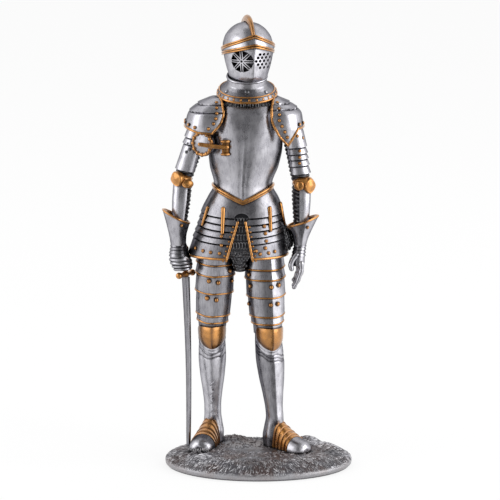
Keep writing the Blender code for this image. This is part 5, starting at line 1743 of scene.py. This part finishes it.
def cuff_skin(side):
    return Skin([row._replace(ridge=0.4) for row in CUFFS[side]], CUFF_TURN, keel=1.1)


def make_cuff(side):
    skin = cuff_skin(side)
    angles = around(72)
    z = np.linspace(skin.knots[0], skin.knots[-1], 40)
    clay = Clay()
    # Painted shade on one side of the cuff
    shade = facet_shade(angles, *CUFF_SHADE[side])
    clay.plate(skin, angles, z[:, None] + 0 * angles, 0.0, 0.45, wrap=True, paint=shade)
    add_piece(f"{side}_gauntlet_cuff", clay, "pewter", f"{side}_gauntlet_cuff", sharp=36)


def make_cuff_rim(side):
    skin = cuff_skin(side)
    gold = Clay()
    points, facing = skin.surface(around(72), skin.knots[-1], -0.15)
    gold.bead(points, facing, 0.3, closed=True)
    inside = points - facing * 0.35 - UP * 0.45
    gold.bead(inside, facing, 0.32, closed=True)
    gold.dome(*skin.surface(0.1, skin.knots[-1] - 1.4, 0.2), 0.36)
    add_piece(f"{side}_cuff_rim", gold, "gold_paint")


def hand_body(clay, rows, wash_and_shade):
    """The back of a hand, with its plates, down to the knuckles."""
    skin = Skin(rows)
    angles = around(56)
    z = heights(skin.knots[0], skin.knots[-1], 0.25, HAND_LINES)
    out = lames(z, HAND_LINES, HAND_STEP, skin.knots[0], 57.0) * (z > HAND_LINES[-1] - 0.01)
    rings = skin.surface(angles, z[:, None] + 0.1 * np.cos(angles), out[:, None])[0]
    # Painted shade on one side of the hand
    clay.body(rings, facet_shade(angles, *wash_and_shade))
    return skin


def make_right_hand():
    """A fist round the grip."""
    fist = Clay()
    skin = hand_body(fist, FIST, HAND_SHADE["right"])
    bend, slant = np.linspace(-1.3, 1.9, 24), 0.25 * np.linspace(-1, 1, 24)
    for i, z in enumerate(KNUCKLES):
        fist.bead(*skin.surface(bend, z + slant, -0.05), 0.5 - 0.03 * i)
    fist.bead(curve(FIST_THUMB, 16), FRONT, np.linspace(0.75, 0.5, 16))
    add_piece("right_gauntlet_hand", fist, "pewter", "right_gauntlet_hand", sharp=40)


def make_left_hand():
    """An open hand that hangs down."""
    palm = Clay()
    hand_body(palm, PALM, HAND_SHADE["left"])
    for finger in FINGERS:
        points = curve(finger, 26)
        joints = 0.72 - 0.012 * np.arange(26) + 0.07 * np.cos(np.arange(26) * 0.75)
        palm.bead(points, (0.3, -1.0, 0), joints, sides=10)
    palm.bead(curve(THUMB, 18), FRONT, np.linspace(0.85, 0.6, 18), sides=10)
    add_piece("left_gauntlet_hand", palm, "pewter", "left_gauntlet_hand", sharp=40)


# Sword

SWORD_TIP, SWORD_TOP = np.array((-17.85, 4.3, 2.4)), np.array((-18.5, 6.3, 55.0))
GUARD_Z, GUARD_LENGTH, GUARD_TURN = 48.0, 5.9, 57
BLADE_LOW, BLADE_HIGH = 2.4, 46.9
BLADE_WIDTHS = ((BLADE_LOW, 0.3), (4.5, 0.55), (7.4, 0.6), (22.0, 0.7), (BLADE_HIGH, 1.0))
BLADE_BOW, BLADE_HALF_D = 0.35, 0.5
# Painted shade on the sword blade: all of it a little darker, and more towards its two edges
BLADE_SHADE, EDGE_SHADE = 0.3, 0.6
POMMEL_R = 0.85


def sword_point(z):
    """A place on the middle line of the sword."""
    return SWORD_TIP + (SWORD_TOP - SWORD_TIP) * (z - SWORD_TIP[2]) / (SWORD_TOP[2] - SWORD_TIP[2])


def make_blade():
    rows = []
    for z in np.linspace(BLADE_LOW, BLADE_HIGH, 24):
        x, y, _ = sword_point(z)
        bow = BLADE_BOW * math.sin(math.pi * (z - BLADE_LOW) / (BLADE_HIGH - BLADE_LOW))
        half = float(through(*zip(*BLADE_WIDTHS), z))
        rows.append(Row(z, x + bow, y, half, BLADE_HALF_D, 1.25))
    angles = around(24)
    rings = Skin(rows).surface(angles, np.linspace(BLADE_LOW, BLADE_HIGH, 60)[:, None])[0]
    blade = Clay()
    blade.body(rings, BLADE_SHADE + EDGE_SHADE * np.sin(angles) ** 2)
    add_piece("sword_blade", blade, "blade", "sword_blade", sharp=30)


def make_guard():
    _, across = turned(GUARD_TURN)
    reach = across * GUARD_LENGTH / 2
    middle = sword_point(GUARD_Z) - UP * 0.4
    share = np.linspace(-1, 1, 25)
    guard = Clay()
    guard.bead(middle + reach * share[:, None], UP, 0.62 + 0.35 * np.exp(-((share / 0.25) ** 2)))
    for end in (-1, 1):
        guard.ball(middle + reach * end, POMMEL_R)
    add_piece("sword_guard", guard, "gold_paint", "sword_guard")


def make_hilt():
    hilt = Clay()
    z = np.linspace(GUARD_Z + 0.9, SWORD_TOP[2] - 1.2, 40)
    points = np.array([sword_point(h) for h in z])
    hilt.bead(points, FRONT, 0.72 + 0.06 * np.sin(z * 7.5), sides=12)
    hilt.ball(sword_point(SWORD_TOP[2] - POMMEL_R), POMMEL_R)
    add_piece("sword_hilt", hilt, "gold_paint", "sword_hilt")


# Operators and panel


class KNIGHT_OT_stage(bpy.types.Operator):
    """Camera, lamps, floor and white surroundings"""

    bl_idname = "knight.stage"
    bl_label = "Stage"

    def execute(self, context):
        make_stage()
        return {"FINISHED"}


class KNIGHT_OT_base(bpy.types.Operator):
    """Oval base with its grass"""

    bl_idname = "knight.base"
    bl_label = "Base"

    def execute(self, context):
        make_base()
        make_grass()
        return {"FINISHED"}


class KNIGHT_OT_legs(bpy.types.Operator):
    """Thighs, knees, shins and feet"""

    bl_idname = "knight.legs"
    bl_label = "Legs"

    def execute(self, context):
        for side, leg in LEGS.items():
            make_thigh(side, leg)
            make_thigh_lines(side, leg)
            make_knee(side, leg)
            make_knee_lame(side, leg)
            make_shin(side, leg)
            make_sabaton(side, leg)
            make_toe_cap(side, leg)
        return {"FINISHED"}


class KNIGHT_OT_waist(bpy.types.Operator):
    """Mail skirt, plate skirt and belt"""

    bl_idname = "knight.waist"
    bl_label = "Waist"

    def execute(self, context):
        make_mail_skirt()
        make_fauld()
        make_fauld_trim()
        make_hip_shade_lump()
        make_belt()
        return {"FINISHED"}


class KNIGHT_OT_trunk(bpy.types.Operator):
    """Breastplate, backplate and neck plate"""

    bl_idname = "knight.trunk"
    bl_label = "Trunk"

    def execute(self, context):
        make_trunk()
        make_neck_mail()
        make_gorget()
        make_gorget_rim()
        make_gorget_hook()
        return {"FINISHED"}


class KNIGHT_OT_helmet(bpy.types.Operator):
    """Helmet bowl, pierced visor and comb"""

    bl_idname = "knight.helmet"
    bl_label = "Helmet"

    def execute(self, context):
        make_helmet_bowl()
        make_brow_lines()
        make_visor()
        make_visor_shade_sheet()
        make_comb()
        return {"FINISHED"}


class KNIGHT_OT_shoulders(bpy.types.Operator):
    """Shoulder plates, armpit disc and lance bracket"""

    bl_idname = "knight.shoulders"
    bl_label = "Shoulders"

    def execute(self, context):
        for side in ARMS:
            make_shoulder(side)
            make_shoulder_rim(side)
        make_besagew()
        make_besagew_rim()
        make_lance_rest()
        make_lance_rest_plate()
        return {"FINISHED"}


class KNIGHT_OT_arms(bpy.types.Operator):
    """Upper arms, elbows, forearms, cuffs and hands"""

    bl_idname = "knight.arms"
    bl_label = "Arms"

    def execute(self, context):
        for side, arm in ARMS.items():
            make_arm_mail(side, arm)
            make_rerebrace(side, arm)
            make_arm_rivets(side, arm)
            make_elbow(side, arm)
            make_wrist_mail(side, arm)
            make_vambrace(side, arm)
            make_cuff(side)
            make_cuff_rim(side)
        make_right_hand()
        make_left_hand()
        return {"FINISHED"}


class KNIGHT_OT_sword(bpy.types.Operator):
    """Blade, guard and hilt"""

    bl_idname = "knight.sword"
    bl_label = "Sword"

    def execute(self, context):
        make_blade()
        make_guard()
        make_hilt()
        return {"FINISHED"}


STEPS = (
    KNIGHT_OT_stage, KNIGHT_OT_base, KNIGHT_OT_legs, KNIGHT_OT_waist, KNIGHT_OT_trunk, KNIGHT_OT_helmet,
    KNIGHT_OT_shoulders, KNIGHT_OT_arms, KNIGHT_OT_sword,
)


class KNIGHT_PT_panel(bpy.types.Panel):
    """Lists the steps that dress the figure, and its sizes and colours"""

    bl_idname = "KNIGHT_PT_panel"
    bl_label = "Pewter knight"
    bl_space_type = "VIEW_3D"
    bl_region_type = "UI"
    bl_category = "Knight"

    def draw(self, context):
        for step in STEPS:
            self.layout.operator(step.bl_idname)
        for group in (context.scene.knight_sizes, context.scene.knight_colours):
            for name in group.__annotations__:
                self.layout.prop(group, name)


CLASSES = (KnightSizes, KnightColours, *STEPS, KNIGHT_PT_panel)


def register():
    for kind in CLASSES:
        bpy.utils.register_class(kind)
    bpy.types.Scene.knight_sizes = bpy.props.PointerProperty(type=KnightSizes)
    bpy.types.Scene.knight_colours = bpy.props.PointerProperty(type=KnightColours)


def unregister():
    del bpy.types.Scene.knight_colours
    del bpy.types.Scene.knight_sizes
    for kind in reversed(CLASSES):
        bpy.utils.unregister_class(kind)


def main():
    register()
    bpy.ops.knight.stage()
    bpy.ops.knight.base()
    bpy.ops.knight.legs()
    bpy.ops.knight.waist()
    bpy.ops.knight.trunk()
    bpy.ops.knight.helmet()
    bpy.ops.knight.shoulders()
    bpy.ops.knight.arms()
    bpy.ops.knight.sword()


if __name__ == "__main__":
    main()
